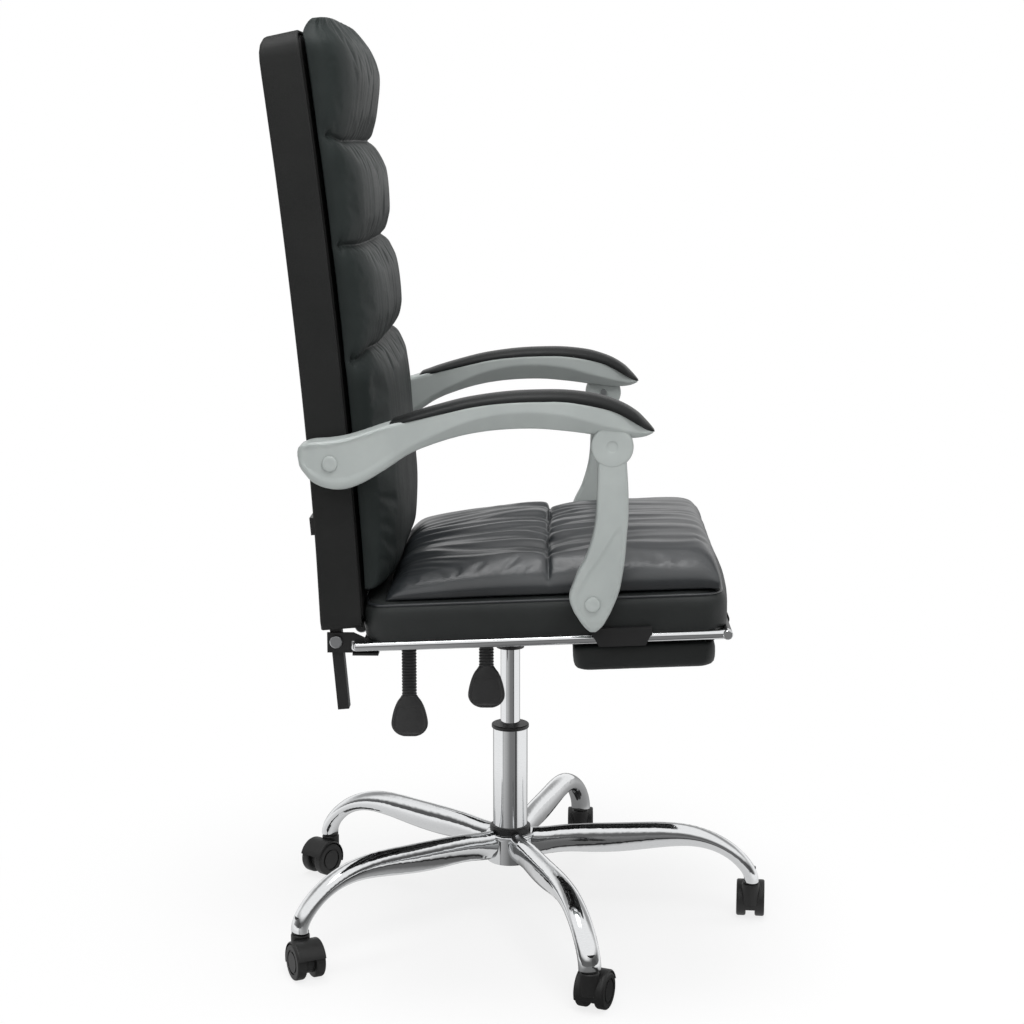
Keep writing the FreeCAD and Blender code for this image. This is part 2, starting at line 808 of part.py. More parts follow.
def pillow_wire(half, low, shoulder, crown, draw, point):
    """Crowned section: flat back, drawn-in sides and a crown, placed by a function of x and height."""
    top = half - draw
    flat = Part.LineSegment(point(-half + draw, low), point(half - draw, low)).toShape()
    side_height = low + (shoulder - low) * 0.45
    foot, rim = half - draw, top - draw
    right = Part.Arc(point(foot, low), point(half, side_height), point(rim, shoulder)).toShape()
    over = Part.Arc(point(rim, shoulder), point(0, crown), point(-rim, shoulder)).toShape()
    left = Part.Arc(point(-rim, shoulder), point(-half, side_height), point(-foot, low)).toShape()
    return Part.Wire([flat, right, over, left])


# Along the pad from its front, with shoulder and crown as shares of their full height
pad_front_shares = ((0.0, 0.20, 0.16), (0.035, 0.78, 0.62), (0.12, 0.98, 0.92), (0.40, 1.0, 1.0),
                    (0.75, 1.0, 0.98), (0.93, 0.92, 0.84), (1.0, 0.74, 0.62))
pad_rear_shares = ((0.0, 0.74, 0.62), (0.06, 0.92, 0.84), (0.25, 1.0, 0.97), (0.52, 1.0, 0.93),
                   (0.76, 0.92, 0.74), (0.92, 0.68, 0.50), (1.0, 0.22, 0.18))


def pad_half(start, end, shares):
    """Half of the seat pad between two places along the seat."""
    wires = []
    for along, shoulder, crown in shares:
        y = start + along * (end - start)
        narrow = pad_half_width - (1 - shoulder) * base_corner * 0.6
        side, top = base_thickness + shoulder * pad_shoulder, base_thickness + crown * pad_crown
        wires.append(pillow_wire(narrow, base_thickness, side, top, base_draw,
                                 lambda x, h, y=y: V(x, y, h)))
    return loft(wires)


def seat_pad():
    """Crowned seat pad with its sewn cross seam."""
    front = pad_half(-pad_front, -pad_seam, pad_front_shares)
    rear = pad_half(-pad_seam, pad_rear, pad_rear_shares)
    return on_seat(fuse(front, rear))


def hinge_plate():
    """Seat side of a hinge: flange under the board, ear around the bolt and lip under the rail."""
    x = bar_reach + seat_gap
    flange_rear = seat_rear + seat_gap
    flange = on_seat(box((-x - hinge_ear, hinge_flange_front, -plate_thickness),
                         (hinge_flange - x, flange_rear, 0)))
    corners = [seat_point(hinge_flange_front, 0), seat_point(flange_rear, 0),
               (hinge_y - hinge_ear_front, hinge_z + hinge_ear_top),
               (hinge_y + hinge_ear_rear, hinge_z + hinge_ear_top),
               (hinge_y + hinge_ear_rear, hinge_z - hinge_ear_foot),
               (hinge_y - hinge_ear_front, hinge_z - hinge_ear_foot),
               seat_point(hinge_flange_front, -hinge_lip_drop)]
    ear = plate([(-x, y, z) for y, z in corners], (-hinge_ear, 0, 0))
    front = hinge_y - hinge_ear_front
    lip = box((-x - hinge_lip_reach, front - hinge_lip_length, hinge_z - hinge_ear_foot),
              (-x, front, hinge_z - hinge_ear_foot + hinge_lip))
    return fuse(flange, ear, lip).cut(hinge_bolt())


def rail_guides():
    """Plastic guides under the seat that the footrest rails slide in."""
    x, front, rear = -guide_inner, -guide_front, -guide_rear
    outline = [(x, front, 0), (x, rear, 0), (x, rear - guide_slant, -guide_foot),
               (x, front + guide_slant, -guide_foot)]
    block = plate(outline, (guide_inner - guide_outer, 0, 0))
    lip_inner = seat_half_width + soft_gap
    lip = box((-guide_outer, front, -overrun), (-lip_inner, rear, guide_lip))
    rail = rod(rail_radius + sliding_gap, (-rail_x, -guide_front - overrun, -rail_drop),
               (-rail_x, -guide_rear + overrun, -rail_drop))
    return pair(on_seat(fuse(block, lip).cut(rail)))


def footrest_rails():
    """Chromed rods of the footrest, each ending at the front tube."""
    rail = rod(rail_radius, (-rail_x, -crossbar_y, -rail_drop), (-rail_x, rail_rear, -rail_drop))
    tip = Part.makeSphere(rail_radius, V(-rail_x, rail_rear, -rail_drop))
    half = rail_x + rail_radius + overrun
    bar = rod(crossbar_radius, (-half, -crossbar_y, -rail_drop), (half, -crossbar_y, -rail_drop))
    return pair(on_seat(fuse(rail, tip).cut(bar)))


def footrest_crossbar():
    """Front tube that joins the rails and carries the foot pad."""
    half = rail_x + rail_radius
    return on_seat(rod(crossbar_radius, (-half, -crossbar_y, -rail_drop), (half, -crossbar_y, -rail_drop)))


def footrest_board():
    """Board of the foot pad with the eyes that turn on the front tube."""
    top = -foot_top
    board = box((-foot_half_width + foot_corner, -foot_front, top - foot_board),
                (foot_half_width - foot_corner, -foot_rear, top))
    eyes = []
    for x in (-foot_eye_x, foot_eye_x):
        eye = rod(foot_eye_radius, (x - foot_eye_width / 2, -crossbar_y, -rail_drop),
                  (x + foot_eye_width / 2, -crossbar_y, -rail_drop))
        arm = box((x - foot_eye_width / 2, -crossbar_y, top - foot_board),
                  (x + foot_eye_width / 2, -foot_front + foot_corner, top))
        web = box((x - foot_eye_width / 2, -crossbar_y, top - foot_board),
                  (x + foot_eye_width / 2, foot_eye_radius - crossbar_y, -rail_drop))
        eyes += [eye, arm, web]
    bore = rod(crossbar_radius + running_gap, (-foot_half_width, -crossbar_y, -rail_drop),
               (foot_half_width, -crossbar_y, -rail_drop))
    return on_seat(fuse(board, *eyes).cut(bore))


def foot_plan(inset, z):
    """Plan outline of the foot cushion at a height."""
    x, front, rear = foot_half_width - inset, -foot_front + inset, -foot_rear - inset
    corners = [(-x, front, z), (x, front, z), (x, rear, z), (-x, rear, z)]
    return rounded(corners, [foot_corner + inset] * len(corners))


# Depth share of the foot cushion below its board, and its inset as a share of its corner
foot_cushion_shares = ((0.0, 0.30), (0.25, 0.0), (0.60, 0.0), (0.86, 0.25), (1.0, 1.0))


def footrest_cushion():
    """Padded side of the footrest, facing down while it is stowed."""
    top = -foot_top - foot_board
    return on_seat(loft([foot_plan(inset * foot_corner, top - depth * foot_cushion)
                         for depth, inset in foot_cushion_shares]))


def front_depth(v):
    """Front face of the back's shell at a height, bowed between its ends."""
    share = (v - shell_bottom) / (shell_top - shell_bottom)
    straight = shell_front + share * (shell_front_top - shell_front)
    bow = shell_front_mid - (shell_front + shell_front_top) / 2
    return -(straight + bow * 4 * share * (1 - share))


def bowed(points):
    """Smooth edge through a row of points."""
    curve = Part.BSplineCurve()
    curve.interpolate(points)
    return curve.toShape()


def shell_depths(inset):
    """Rear face of the shell, drawn in by an inset: three points from its foot to its top."""
    low, high = shell_bottom + inset, shell_top - inset
    depths = (shell_rear, shell_rear_mid, shell_rear)
    return [V(0, depth - inset, v) for depth, v in zip(depths, (low, (low + high) / 2, high))]


def front_depths(inset):
    """Front edge of the shell: three points from its foot to its top."""
    low, high = shell_bottom + inset, shell_top - inset
    return [V(0, front_depth(v), v) for v in (low, (low + high) / 2, high)]


def back_prism(half, inset, front, rear):
    """Side profile between two bowed rows of points, with rounded corners seen from the front."""
    edges = [bowed(front), Part.LineSegment(front[2], rear[2]).toShape(),
             bowed(rear[::-1]), Part.LineSegment(rear[0], front[0]).toShape()]
    slab = Part.Face(Part.Wire(edges))
    slab.translate(V(-half, 0, 0))
    slab = slab.extrude(V(2 * half, 0, 0))
    deep = shell_front_mid + shell_rear
    low, high = shell_bottom + inset, shell_top - inset
    corners = [(-half, -2 * deep, low), (half, -2 * deep, low),
               (half, -2 * deep, high), (-half, -2 * deep, high)]
    radii = [shell_corner / 2 - inset / 2] * 2 + [shell_corner - inset] * 2
    face = Part.Face(rounded(corners, radii))
    return slab.common(face.extrude(V(0, 3 * deep, 0)))


def shell_block(half):
    """The shell filled in, at a half width."""
    return back_prism(half, 0, front_depths(0), shell_depths(0))


def shell_room(gap):
    """Room inside the shell, open to the front, with a gap to its walls."""
    inset = shell_wall + gap
    rear = shell_depths(inset)
    ahead = V(0, -shell_front_mid - shell_rear, 0)
    front = [V(0, 0, p.z) + ahead for p in rear]
    return back_prism(back_half_width - inset, inset, front, rear)


def board_block(half, inset):
    """Slab along the shell's front edge, as thick as the back board."""
    front = front_depths(inset)
    return back_prism(half, inset, front, [p + V(0, back_board_thickness, 0) for p in front])


def inside_shell(shape):
    """Trims a piece of the back frame where it runs inside the shell."""
    reach = 2 * back_half_width
    low = shell_bottom + shell_wall + seat_gap
    below = box((-reach, -reach, -reach), (reach, reach, low))
    return fuse(shape.common(below), shape.common(shell_room(seat_gap)))


def side_bar():
    """Square bar of the back frame with its tab for the armrest bolt, on the right hand side."""
    outer, inner = -bar_reach, bar_width - bar_reach
    bar = box((outer, -bar_depth / 2, -bar_foot), (inner, bar_depth / 2, bar_top))
    block = box((outer, -shell_front, crossbar_bottom + crossbar_height + bar_width),
                (inner, 0, crossbar_bottom + 4 * bar_width))
    u, v = in_back(*rear_pivot)
    tab = box((shell_wall - back_half_width, u - bar_depth * 0.6, v - bar_depth),
              (outer, bar_depth / 2, v + bar_depth))
    bore = rod(pivot_radius + running_gap, (outer - overrun, 0, 0), (inner + overrun, 0, 0))
    block = block.cut(board_block(seat_half_width, 0))
    bar = fuse(inside_shell(bar), block, inside_shell(tab)).cut(bore)
    bolt_hole = rod(pivot_radius, (shell_wall - back_half_width - overrun, u, v), (inner, u, v))
    return bar.cut(bolt_hole)


def back_side_bars():
    """Two side bars of the back frame."""
    return pair(on_back(side_bar()))


def lock_pin_place():
    """Depth and height of the lock's rear pin in the back's frame."""
    return 0, -lock_drop


def back_crossbar():
    """Tube between the side bars with the lug and pin that the lock rod holds."""
    inner = bar_reach - bar_width
    low, high = crossbar_bottom, crossbar_bottom + crossbar_height
    bar = box((-inner, -crossbar_height / 2, low), (inner, crossbar_height / 2, high))
    edge = lock_x - lock_eye_width / 2 - seat_gap
    u, v = lock_pin_place()
    half = lock_eye_radius * 0.8
    lug = box((edge - lock_ear, u - half, v), (edge, u + half, low + overrun))
    foot = rod(half, (edge - lock_ear, u, v), (edge, u, v))
    pin = rod(lock_pin_radius, (edge - lock_ear, u, v), (lock_x + lock_eye_width / 2 + lock_ear, u, v))
    return on_back(fuse(inside_shell(bar), lug, foot, pin))


def back_board():
    """Bowed plywood board behind the back cushion."""
    return on_back(board_block(back_board_half, shell_wall))


def back_shell():
    """Moulded rear shell: rear wall and four sides, slotted at its foot for the frame."""
    shell = shell_block(back_half_width).cut(shell_room(0))
    gap, top = seat_gap * 3, shell_bottom * 2
    half = bar_depth / 2 + gap
    for x in (-bar_reach, bar_reach - bar_width):
        shell = shell.cut(box((x - gap, -half, 0), (x + bar_width + gap, half, top)))
    edge = lock_x - lock_eye_width / 2 - seat_gap
    half = lock_eye_radius + gap
    shell = shell.cut(box((edge - lock_ear - gap, -half, 0), (edge + gap, half, top)))
    u, v = in_back(*rear_pivot)
    face = overrun - back_half_width + shell_wall
    bolt_hole = rod(pivot_radius, (-back_half_width - overrun, u, v), (face, u, v))
    return on_back(shell.cut(bolt_hole).cut(mirrored(bolt_hole)))


# Along a channel from its lower seam: crown ahead of the board as a share of the fullest crown
foot_channel_shares = ((0.0, 0.41), (0.03, 0.52), (0.11, 0.72), (0.29, 0.85), (0.55, 0.89), (0.77, 0.90),
                       (0.92, 0.85), (1.0, 0.76))
third_channel_shares = ((0.0, 0.76), (0.10, 0.83), (0.30, 0.87), (0.50, 0.88), (0.70, 0.86),
                        (0.90, 0.78), (1.0, 0.70))
second_channel_shares = ((0.0, 0.70), (0.10, 0.78), (0.28, 0.85), (0.48, 0.86), (0.72, 0.82),
                         (0.91, 0.73), (1.0, 0.65))
pillow_shares = ((0.0, 0.65), (0.10, 0.79), (0.25, 0.91), (0.47, 0.97), (0.72, 0.89), (0.835, 0.78),
                 (0.91, 0.62), (0.965, 0.43), (1.0, 0.25))


def channel(low, high, shares):
    """One sewn channel of the back cushion between two heights."""
    wires = []
    for along, fill in shares:
        v = low + along * (high - low)
        back = -front_depth(v) - overrun
        crown = -front_depth(v) + fill * cushion_depth
        narrow = cushion_half_width - (1 - fill) * shell_corner
        shoulder = back + 0.66 * (crown - back)
        wires.append(pillow_wire(narrow, back, shoulder, crown, base_draw, lambda x, d, v=v: V(x, -d, v)))
    return loft(wires)


def back_cushion():
    """Channelled back cushion that leans on the board."""
    parts = [channel(cushion_bottom, third_seam, foot_channel_shares),
             channel(third_seam, second_seam, third_channel_shares),
             channel(second_seam, first_seam, second_channel_shares),
             channel(first_seam, cushion_top, pillow_shares)]
    cushion = fuse(*parts)
    return on_back(cushion.cut(shell_block(back_half_width + shell_corner)))


def rear_fixing_plates():
    """Two small plates on the rear of the shell with their screws."""
    outer = back_half_width - fixing_plate_inset
    low, high = fixing_plate_low, fixing_plate_low + fixing_plate_height
    face = shell_rear + fixing_plate_proud - overrun
    block = box((-outer, 0, low), (fixing_plate_width - outer, face, high))
    body = block.cut(shell_block(back_half_width))
    x, v = fixing_plate_width / 2 - outer, (low + high) / 2
    screw = rod(screw_radius, (x, face - screw_proud, v), (x, face + screw_proud, v))
    return pair(on_back(fuse(body, screw)))


def arm_bolts():
    """Bolts on the back with their spacers, one into each armrest."""
    y, z = rear_pivot
    tip = arm_middle + pivot_radius
    shank = rod(pivot_radius, (-bar_reach, y, z), (-tip, y, z))
    paddle_face = arm_middle - arm_half_width * paddle_share
    spacer = rod(spacer_radius, (-back_half_width, y, z), (seat_gap - paddle_face, y, z))
    return pair(fuse(shank, spacer))


paddle_share = 0.8
# Sections of an armrest from its rear end: place along it, underside and upper edge as shares of its
# height, the crease between side and underside as a share of the section, and the half width's share
armrest_shares = (
    (0.002, 0.310, 0.430, 0.40, 0.50),
    (0.015, 0.200, 0.496, 0.25, 0.70),
    (0.042, 0.078, 0.526, 0.15, paddle_share),
    (0.086, 0.006, 0.540, 0.12, paddle_share),
    (0.135, 0.000, 0.572, 0.12, paddle_share),
    (0.186, 0.072, 0.630, 0.13, 0.82),
    (0.248, 0.217, 0.710, 0.16, 0.86),
    (0.319, 0.400, 0.783, 0.22, 0.92),
    (0.403, 0.530, 0.861, 0.34, 0.97),
    (0.485, 0.613, 0.930, 0.50, 1.00),
    (0.573, 0.661, 0.978, 0.60, 1.00),
    (0.673, 0.674, 1.000, 0.60, 1.00),
    (0.761, 0.648, 0.996, 0.52, 1.00),
    (0.832, 0.615, 0.957, 0.42, 0.98),
    (0.894, 0.600, 0.891, 0.36, 0.92),
    (0.949, 0.604, 0.774, 0.36, 0.78),
    (0.987, 0.622, 0.690, 0.40, 0.55),
)


def armrest_section(along, low, high, crease, width):
    """Six-sided section of an armrest with rounded corners."""
    y = arm_rear - along * arm_length
    low, high = arm_foot + low * arm_height, arm_foot + high * arm_height
    tall = high - low
    half = width * arm_half_width
    inset = arm_inset * min(1, crease / 0.5) * width
    waist = low + crease * tall
    corners = [(-arm_middle - half, y, high), (-arm_middle + half, y, high), (-arm_middle + half, y, waist),
               (-arm_middle + half - inset, y, low), (-arm_middle - half + inset, y, low),
               (-arm_middle - half, y, waist)]
    edge, fold, heel = 0.06 * tall, 0.08 * tall, 0.10 * tall
    return rounded(corners, [edge, edge, fold, heel, heel, fold])


def arm_body():
    """Outer form of an armrest."""
    return loft([armrest_section(*row) for row in armrest_shares])


def arm_frame():
    """Armrest moulding with its knuckle lug and rear pocket, on the right hand side."""
    y, z = knuckle
    face, beyond = running_gap * 4 - knuckle_inner, -knuckle_outer - knuckle_radius
    lug = rod(lug_radius, (-lug_inner, y, z), (face, y, z))
    body = arm_body()
    room = rod(knuckle_radius + seat_gap * 3, (face, y, z), (beyond, y, z))
    neck = box((beyond, y - knuckle_radius, arm_foot), (face, y + knuckle_radius, z))
    bore = rod(knuckle_pin_radius + running_gap, (overrun - lug_inner, y, z), (-knuckle_outer, y, z))
    body = fuse(body.cut(room).cut(neck), lug).cut(bore)
    y, z = rear_pivot
    pocket = rod(pivot_radius + loop_clearance, (-arm_middle + arm_half_width, y, z),
                 (-arm_middle - 2 * pivot_radius, y, z))
    outer = arm_middle + arm_half_width * paddle_share
    cap = rod(cap_radius, (-arm_middle - 2 * pivot_radius - overrun, y, z), (-outer - cap_height, y, z))
    return fuse(body.cut(pocket), cap)


# Crown of the arm pad along its length from the rear, and its half width's share
arm_pad_shares = ((0.0, 0.15, 0.60), (0.05, 0.55, 0.85), (0.15, 0.85, 0.97), (0.35, 1.0, 1.0),
                  (0.60, 1.0, 1.0), (0.80, 1.0, 0.98), (0.90, 0.96, 0.90), (0.97, 0.75, 0.74),
                  (1.0, 0.35, 0.45))


def arm_top(y):
    """Height of the armrest's upper edge at a place along the chair."""
    along = (arm_rear - y) / arm_length
    rows = [(row[0], row[2]) for row in armrest_shares]
    for (a, low), (b, high) in zip(rows, rows[1:]):
        if along <= b:
            return arm_foot + arm_height * (low + (high - low) * (along - a) / (b - a))
    return arm_foot + arm_height * rows[-1][1]


def arm_pad():
    """Soft pad on top of an armrest, on the right hand side."""
    wires = []
    for along, crown, width in arm_pad_shares:
        y = arm_rear - arm_length - rest_overhang + (1 - along) * rest_length
        half = rest_half_width * width
        top = arm_top(y)
        wires.append(pillow_wire(half, top - overrun, top + crown * rest_thickness * 0.6,
                                 top + crown * rest_thickness, half * 0.06,
                                 lambda x, h, y=y: V(x - arm_middle, y, h)))
    return loft(wires).cut(arm_body())


# Sections of a strut from its foot: height share, and its rear and front edges from the line through
# its pivots as shares of its greatest width
strut_shares = (
    (0.004, 0.0314, -0.1486), (0.04, 0.2142, -0.2558), (0.1, 0.3956, -0.3444), (0.17, 0.5205, -0.4195),
    (0.24, 0.5155, -0.4445), (0.32, 0.4139, -0.4661), (0.4, 0.2824, -0.4676), (0.52, 0.1852, -0.4548),
    (0.63, 0.1743, -0.4357), (0.77, 0.2142, -0.3758), (0.89, 0.2469, -0.3231), (1, 0.2761, -0.2639),
)


def strut():
    """Strut with its knuckle head, on the right hand side."""
    y0, z0 = strut_pivot[0], strut_pivot[1] - strut_foot
    tall = knuckle[1] - z0
    wires = []
    for height, rear, front in strut_shares:
        z = z0 + height * tall
        middle = strut_foot_middle + min(1, height / 0.8) * (strut_top_middle - strut_foot_middle)
        half = strut_thickness / 2 * min(1, 0.55 + 4 * height)
        line = y0 + height * (knuckle[0] - y0)
        low, high = line + front * strut_width, line + rear * strut_width
        outer, inner = -middle - half, half - middle
        corners = [(outer, low, z), (inner, low, z), (inner, high, z), (outer, high, z)]
        wires.append(rounded(corners, [min(half, (high - low) / 2) * 0.45] * len(corners)))
    body = loft(wires)
    y, z = knuckle
    head = rod(knuckle_radius, (-knuckle_inner, y, z), (-knuckle_outer, y, z))
    head = head.makeFillet(cap_height, head.Edges)
    dimple = rod(dimple_radius, (dimple_depth - knuckle_outer, y, z), (-knuckle_outer - overrun, y, z))
    py, pz = strut_pivot
    outer = strut_foot_middle + strut_thickness / 2
    cap = rod(cap_radius, (-outer + cap_height, py, pz), (-outer - cap_height, py, pz))
    lug_room = rod(lug_radius + seat_gap * 3, (-lug_inner, y, z), (-knuckle_inner, y, z))
    body = fuse(body.cut(lug_room), head, cap).cut(dimple)
    body = body.cut(rod(knuckle_pin_radius, (-lug_inner, y, z), (-knuckle_outer + knuckle_pin_radius, y, z)))
    return body.cut(strut_bolt(running_gap))


def knuckle_pin():
    """Pin through the knuckle, fixed in the strut."""
    y, z = knuckle
    return rod(knuckle_pin_radius, (-lug_inner - overrun, y, z), (knuckle_pin_radius - knuckle_outer, y, z))


def height_lever_run():
    """Height of the seat height lever's outer run."""
    return height_lever_rest() - height_lever_fall


def height_lever_rod():
    """Bent rod from over the release button to the right hand side of the seat."""
    rest, run, y = height_lever_rest(), height_lever_run(), height_lever_y
    points = [(lever_radius, 0, rest), (-channel_half_width - lever_bend, 0, rest),
              (-channel_half_width - 4 * lever_bend, y, run), (-lever_x, y, run),
              (-lever_x, y, run - height_lever_stem - height_neck_length)]
    return bent_rod(points, lever_radius, lever_bend * 0.7)


def recline_lever_rod():
    """Bent rod from beside the lock's tab to the right hand side of the seat."""
    y, z = recline_lever_y, recline_lever_rest
    points = [(recline_tip, y, z), (-lever_x, y, z),
              (-lever_x, y, z - recline_lever_stem - recline_neck_length)]
    return bent_rod(points, lever_radius, lever_bend * 0.7)


# Half outline of the paddle from its foot: height share and half width share
paddle_shares = ((0.0, 0.0), (0.0, 0.42), (0.14, 0.88), (0.34, 1.0), (0.55, 0.86), (0.80, 0.52), (1.0, 0.34))


def handle(y, neck_top, neck_length):
    """Hanging handle: a flat paddle under a ribbed neck."""
    half = paddle_width / 2
    right = [V(0, share * half, height * paddle_length) for height, share in paddle_shares]
    curve = Part.BSplineCurve()
    curve.interpolate(right[1:])
    left = [V(p.x, -p.y, p.z) for p in right]
    other = Part.BSplineCurve()
    other.interpolate(left[1:])
    edges = [Part.LineSegment(left[1], right[1]).toShape(), curve.toShape(),
             Part.LineSegment(right[-1], left[-1]).toShape(), other.toShape()]
    face = Part.Face(Part.Wire(Part.__sortEdges__(edges)))
    face.translate(V(-paddle_thickness / 2, 0, 0))
    paddle = face.extrude(V(paddle_thickness, 0, 0))
    count = int(neck_length / rib_pitch)
    pitch = neck_length / count
    wires = []
    for i in range(count):
        low = paddle_length + i * pitch
        for share, radius in ((0.0, neck_radius - neck_groove), (0.25, neck_radius), (0.7, neck_radius),
                              (0.95, neck_radius - neck_groove)):
            wires.append(Part.Wire(Part.makeCircle(radius, V(0, 0, low + share * pitch), V(0, 0, 1))))
    end = V(0, 0, paddle_length + neck_length)
    wires.append(Part.Wire(Part.makeCircle(neck_radius - neck_groove, end, V(0, 0, 1))))
    neck = loft(wires, straight=True)
    root = rod(neck_radius - neck_groove, (0, 0, paddle_length * 0.8), (0, 0, paddle_length + overrun))
    body = fuse(paddle, neck, root)
    body.translate(V(-lever_x, y, neck_top - neck_length - paddle_length))
    return body


def height_lever_handle():
    """Handle of the seat height lever."""
    top = height_lever_run() - height_lever_stem
    return handle(height_lever_y, top, height_neck_length).cut(height_lever_rod())


def recline_lever_handle():
    """Handle of the recline lever."""
    top = recline_lever_rest - recline_lever_stem
    return handle(recline_lever_y, top, recline_neck_length).cut(recline_lever_rod())


def lock_axis():
    """Start, direction and length from the lock tube's pivot to its rear pin, in the chair's frame."""
    start = V(lock_x, *lock_front)
    u, v = lock_pin_place()
    a = radians(back_rake)
    end = V(lock_x, hinge_y + u * cos(a) + v * sin(a), hinge_z - u * sin(a) + v * cos(a))
    span = end - start
    length = span.Length
    return start, span.normalize(), length


def lock_tube():
    """Tube that grips the lock rod, with its front eye and its release tab."""
    start, along, _ = lock_axis()
    eye = rod(lock_eye_radius, start - V(lock_eye_width / 2, 0, 0), start + V(lock_eye_width / 2, 0, 0))
    neck = Part.makeCylinder(lock_rod_radius, lock_tube_start + overrun, start, along)
    tube = Part.makeCylinder(lock_tube_radius, lock_tube_length, start + along * lock_tube_start, along)
    tab_y = recline_lever_y
    axis_z = start.z + along.z / along.y * (tab_y - start.y)
    top, half = recline_lever_rest - lever_radius - lock_tab_drop, lock_tab_width / 2
    tab_x = lock_x - lock_tube_radius - lock_tab_reach
    tab = box((tab_x, tab_y - half, axis_z - lock_tube_radius / 2), (lock_x, tab_y + half, top))
    bore = Part.makeCylinder(lock_rod_radius + sliding_gap, lock_tube_length + lock_tube_start,
                             start + along * (lock_tube_start + 2 * lock_rod_radius), along)
    across = V(lock_eye_width, 0, 0)
    pin_hole = rod(lock_pin_radius + running_gap, start - across, start + across)
    return fuse(eye, neck, tube, tab).cut(bore).cut(pin_hole)


def lock_rod():
    """Rod held by the lock tube, with an eye around the pin on the back."""
    start, along, length = lock_axis()
    body = Part.makeCylinder(lock_rod_radius, length - lock_rod_start, start + along * lock_rod_start, along)
    end = start + along * length
    eye = rod(lock_eye_radius, end - V(lock_eye_width / 2, 0, 0), end + V(lock_eye_width / 2, 0, 0))
    across = V(lock_eye_width, 0, 0)
    hole = rod(lock_pin_radius + lock_loop_clearance, end - across, end + across)
    return fuse(body, eye).cut(hole)


def all_nodes():
    """Every sub-part by name."""
    nodes = {
        "base_hub": base_hub(),
        "base_arms": base_arms(),
        "caster_sockets": caster_sockets(),
        "base_collar": base_collar(),
        "lift_outer_tube": lift_outer_tube(),
        "lift_guide_bushing": lift_guide_bushing(),
        "lift_thrust_bearing": lift_thrust_bearing(),
        "lift_piston_rod": lift_piston_rod(),
        "lift_rod_clip": lift_rod_clip(),
        "lift_cylinder": lift_cylinder(),
        "lift_release_button": lift_release_button(),
        "seat_mechanism": seat_mechanism(),
        "mechanism_bolts": mechanism_bolts(),
        "seat_board": seat_board(),
        "seat_base_cushion": seat_base_cushion(),
        "seat_pad": seat_pad(),
        "seat_hinges": pair(hinge_plate()),
        "pivot_bolts": pivot_bolts(),
        "arm_brackets": arm_brackets(),
        "rail_guides": rail_guides(),
        "height_lever_rod": height_lever_rod(),
        "height_lever_handle": height_lever_handle(),
        "recline_lever_rod": recline_lever_rod(),
        "recline_lever_handle": recline_lever_handle(),
        "lock_tube": lock_tube(),
        "lock_rod": lock_rod(),
        "back_side_bars": back_side_bars(),
        "back_crossbar": back_crossbar(),
        "back_board": back_board(),
        "back_shell": back_shell(),
        "back_cushion": back_cushion(),
        "rear_fixing_plates": rear_fixing_plates(),
        "arm_bolts": arm_bolts(),
        "footrest_rails": footrest_rails(),
        "footrest_crossbar": footrest_crossbar(),
        "footrest_board": footrest_board(),
        "footrest_cushion": footrest_cushion(),
    }
    for name, shape in (("arm_frame", arm_frame()), ("arm_pad", arm_pad()), ("strut", strut()),
                        ("knuckle_pin", knuckle_pin())):
        nodes[name + "_right"] = shape
        nodes[name + "_left"] = mirrored(shape)
    hood, pins = caster_hood(), caster_pins()
    wheels = Part.makeCompound([caster_wheel(1), caster_wheel(-1)])
    wheels.translate(V(trail, 0, wheel_radius))
    for index, place in enumerate(caster_names):
        nodes["caster_hood_" + place] = place_caster(hood, index)
        nodes["caster_pins_" + place] = place_caster(pins, index)
        nodes["caster_wheels_" + place] = place_caster(wheels, index)
    return nodes


def main():
    os.makedirs("parts", exist_ok=True)
    for name, shape in all_nodes().items():
        solids = shape.Solids
        valid = all(s.isValid() for s in solids)
        print("%-28s solids %d valid %s volume %.0f" % (name, len(solids), valid, shape.Volume))
        out = solids[0] if len(solids) == 1 else Part.makeCompound(solids)
        out.exportStep("parts/" + name + ".step")


main()
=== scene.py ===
"""Visual model of the reclining office chair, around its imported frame."""
import bpy
import bmesh
import json
from math import atan2, cos, exp, pi, radians, sin, sqrt
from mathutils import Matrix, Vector, noise


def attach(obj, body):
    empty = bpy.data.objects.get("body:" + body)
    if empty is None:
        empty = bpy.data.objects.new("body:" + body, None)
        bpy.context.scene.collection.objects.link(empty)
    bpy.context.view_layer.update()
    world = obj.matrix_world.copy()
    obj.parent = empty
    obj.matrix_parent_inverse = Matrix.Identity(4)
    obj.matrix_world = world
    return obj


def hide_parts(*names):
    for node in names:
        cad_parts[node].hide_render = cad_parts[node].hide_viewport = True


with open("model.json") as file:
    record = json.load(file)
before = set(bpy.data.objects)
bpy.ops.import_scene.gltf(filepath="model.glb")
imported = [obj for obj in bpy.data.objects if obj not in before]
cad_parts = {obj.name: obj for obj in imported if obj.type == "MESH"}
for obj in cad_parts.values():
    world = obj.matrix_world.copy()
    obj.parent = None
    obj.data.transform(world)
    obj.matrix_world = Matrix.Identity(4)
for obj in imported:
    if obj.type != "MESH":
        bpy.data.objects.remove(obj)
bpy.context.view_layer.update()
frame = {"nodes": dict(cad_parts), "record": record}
scene = bpy.context.scene
mm = 0.001
sides = ((-1, "right"), (1, "left"))

# Rake of the seat and height of its plane, rake of the back and place of its hinge, in metres
seat_rake = radians(2.4)
seat_height = 0.486
back_rake = radians(4.9)
hinge_y, hinge_z = 0.225, 0.473


def seat_point(x, y, z):
    """Chair coordinates in metres of a point in the seat's frame in millimetres."""
    y, z = y * mm, z * mm
    return Vector((x * mm, y * cos(seat_rake) + z * sin(seat_rake),
                   seat_height + z * cos(seat_rake) - y * sin(seat_rake)))


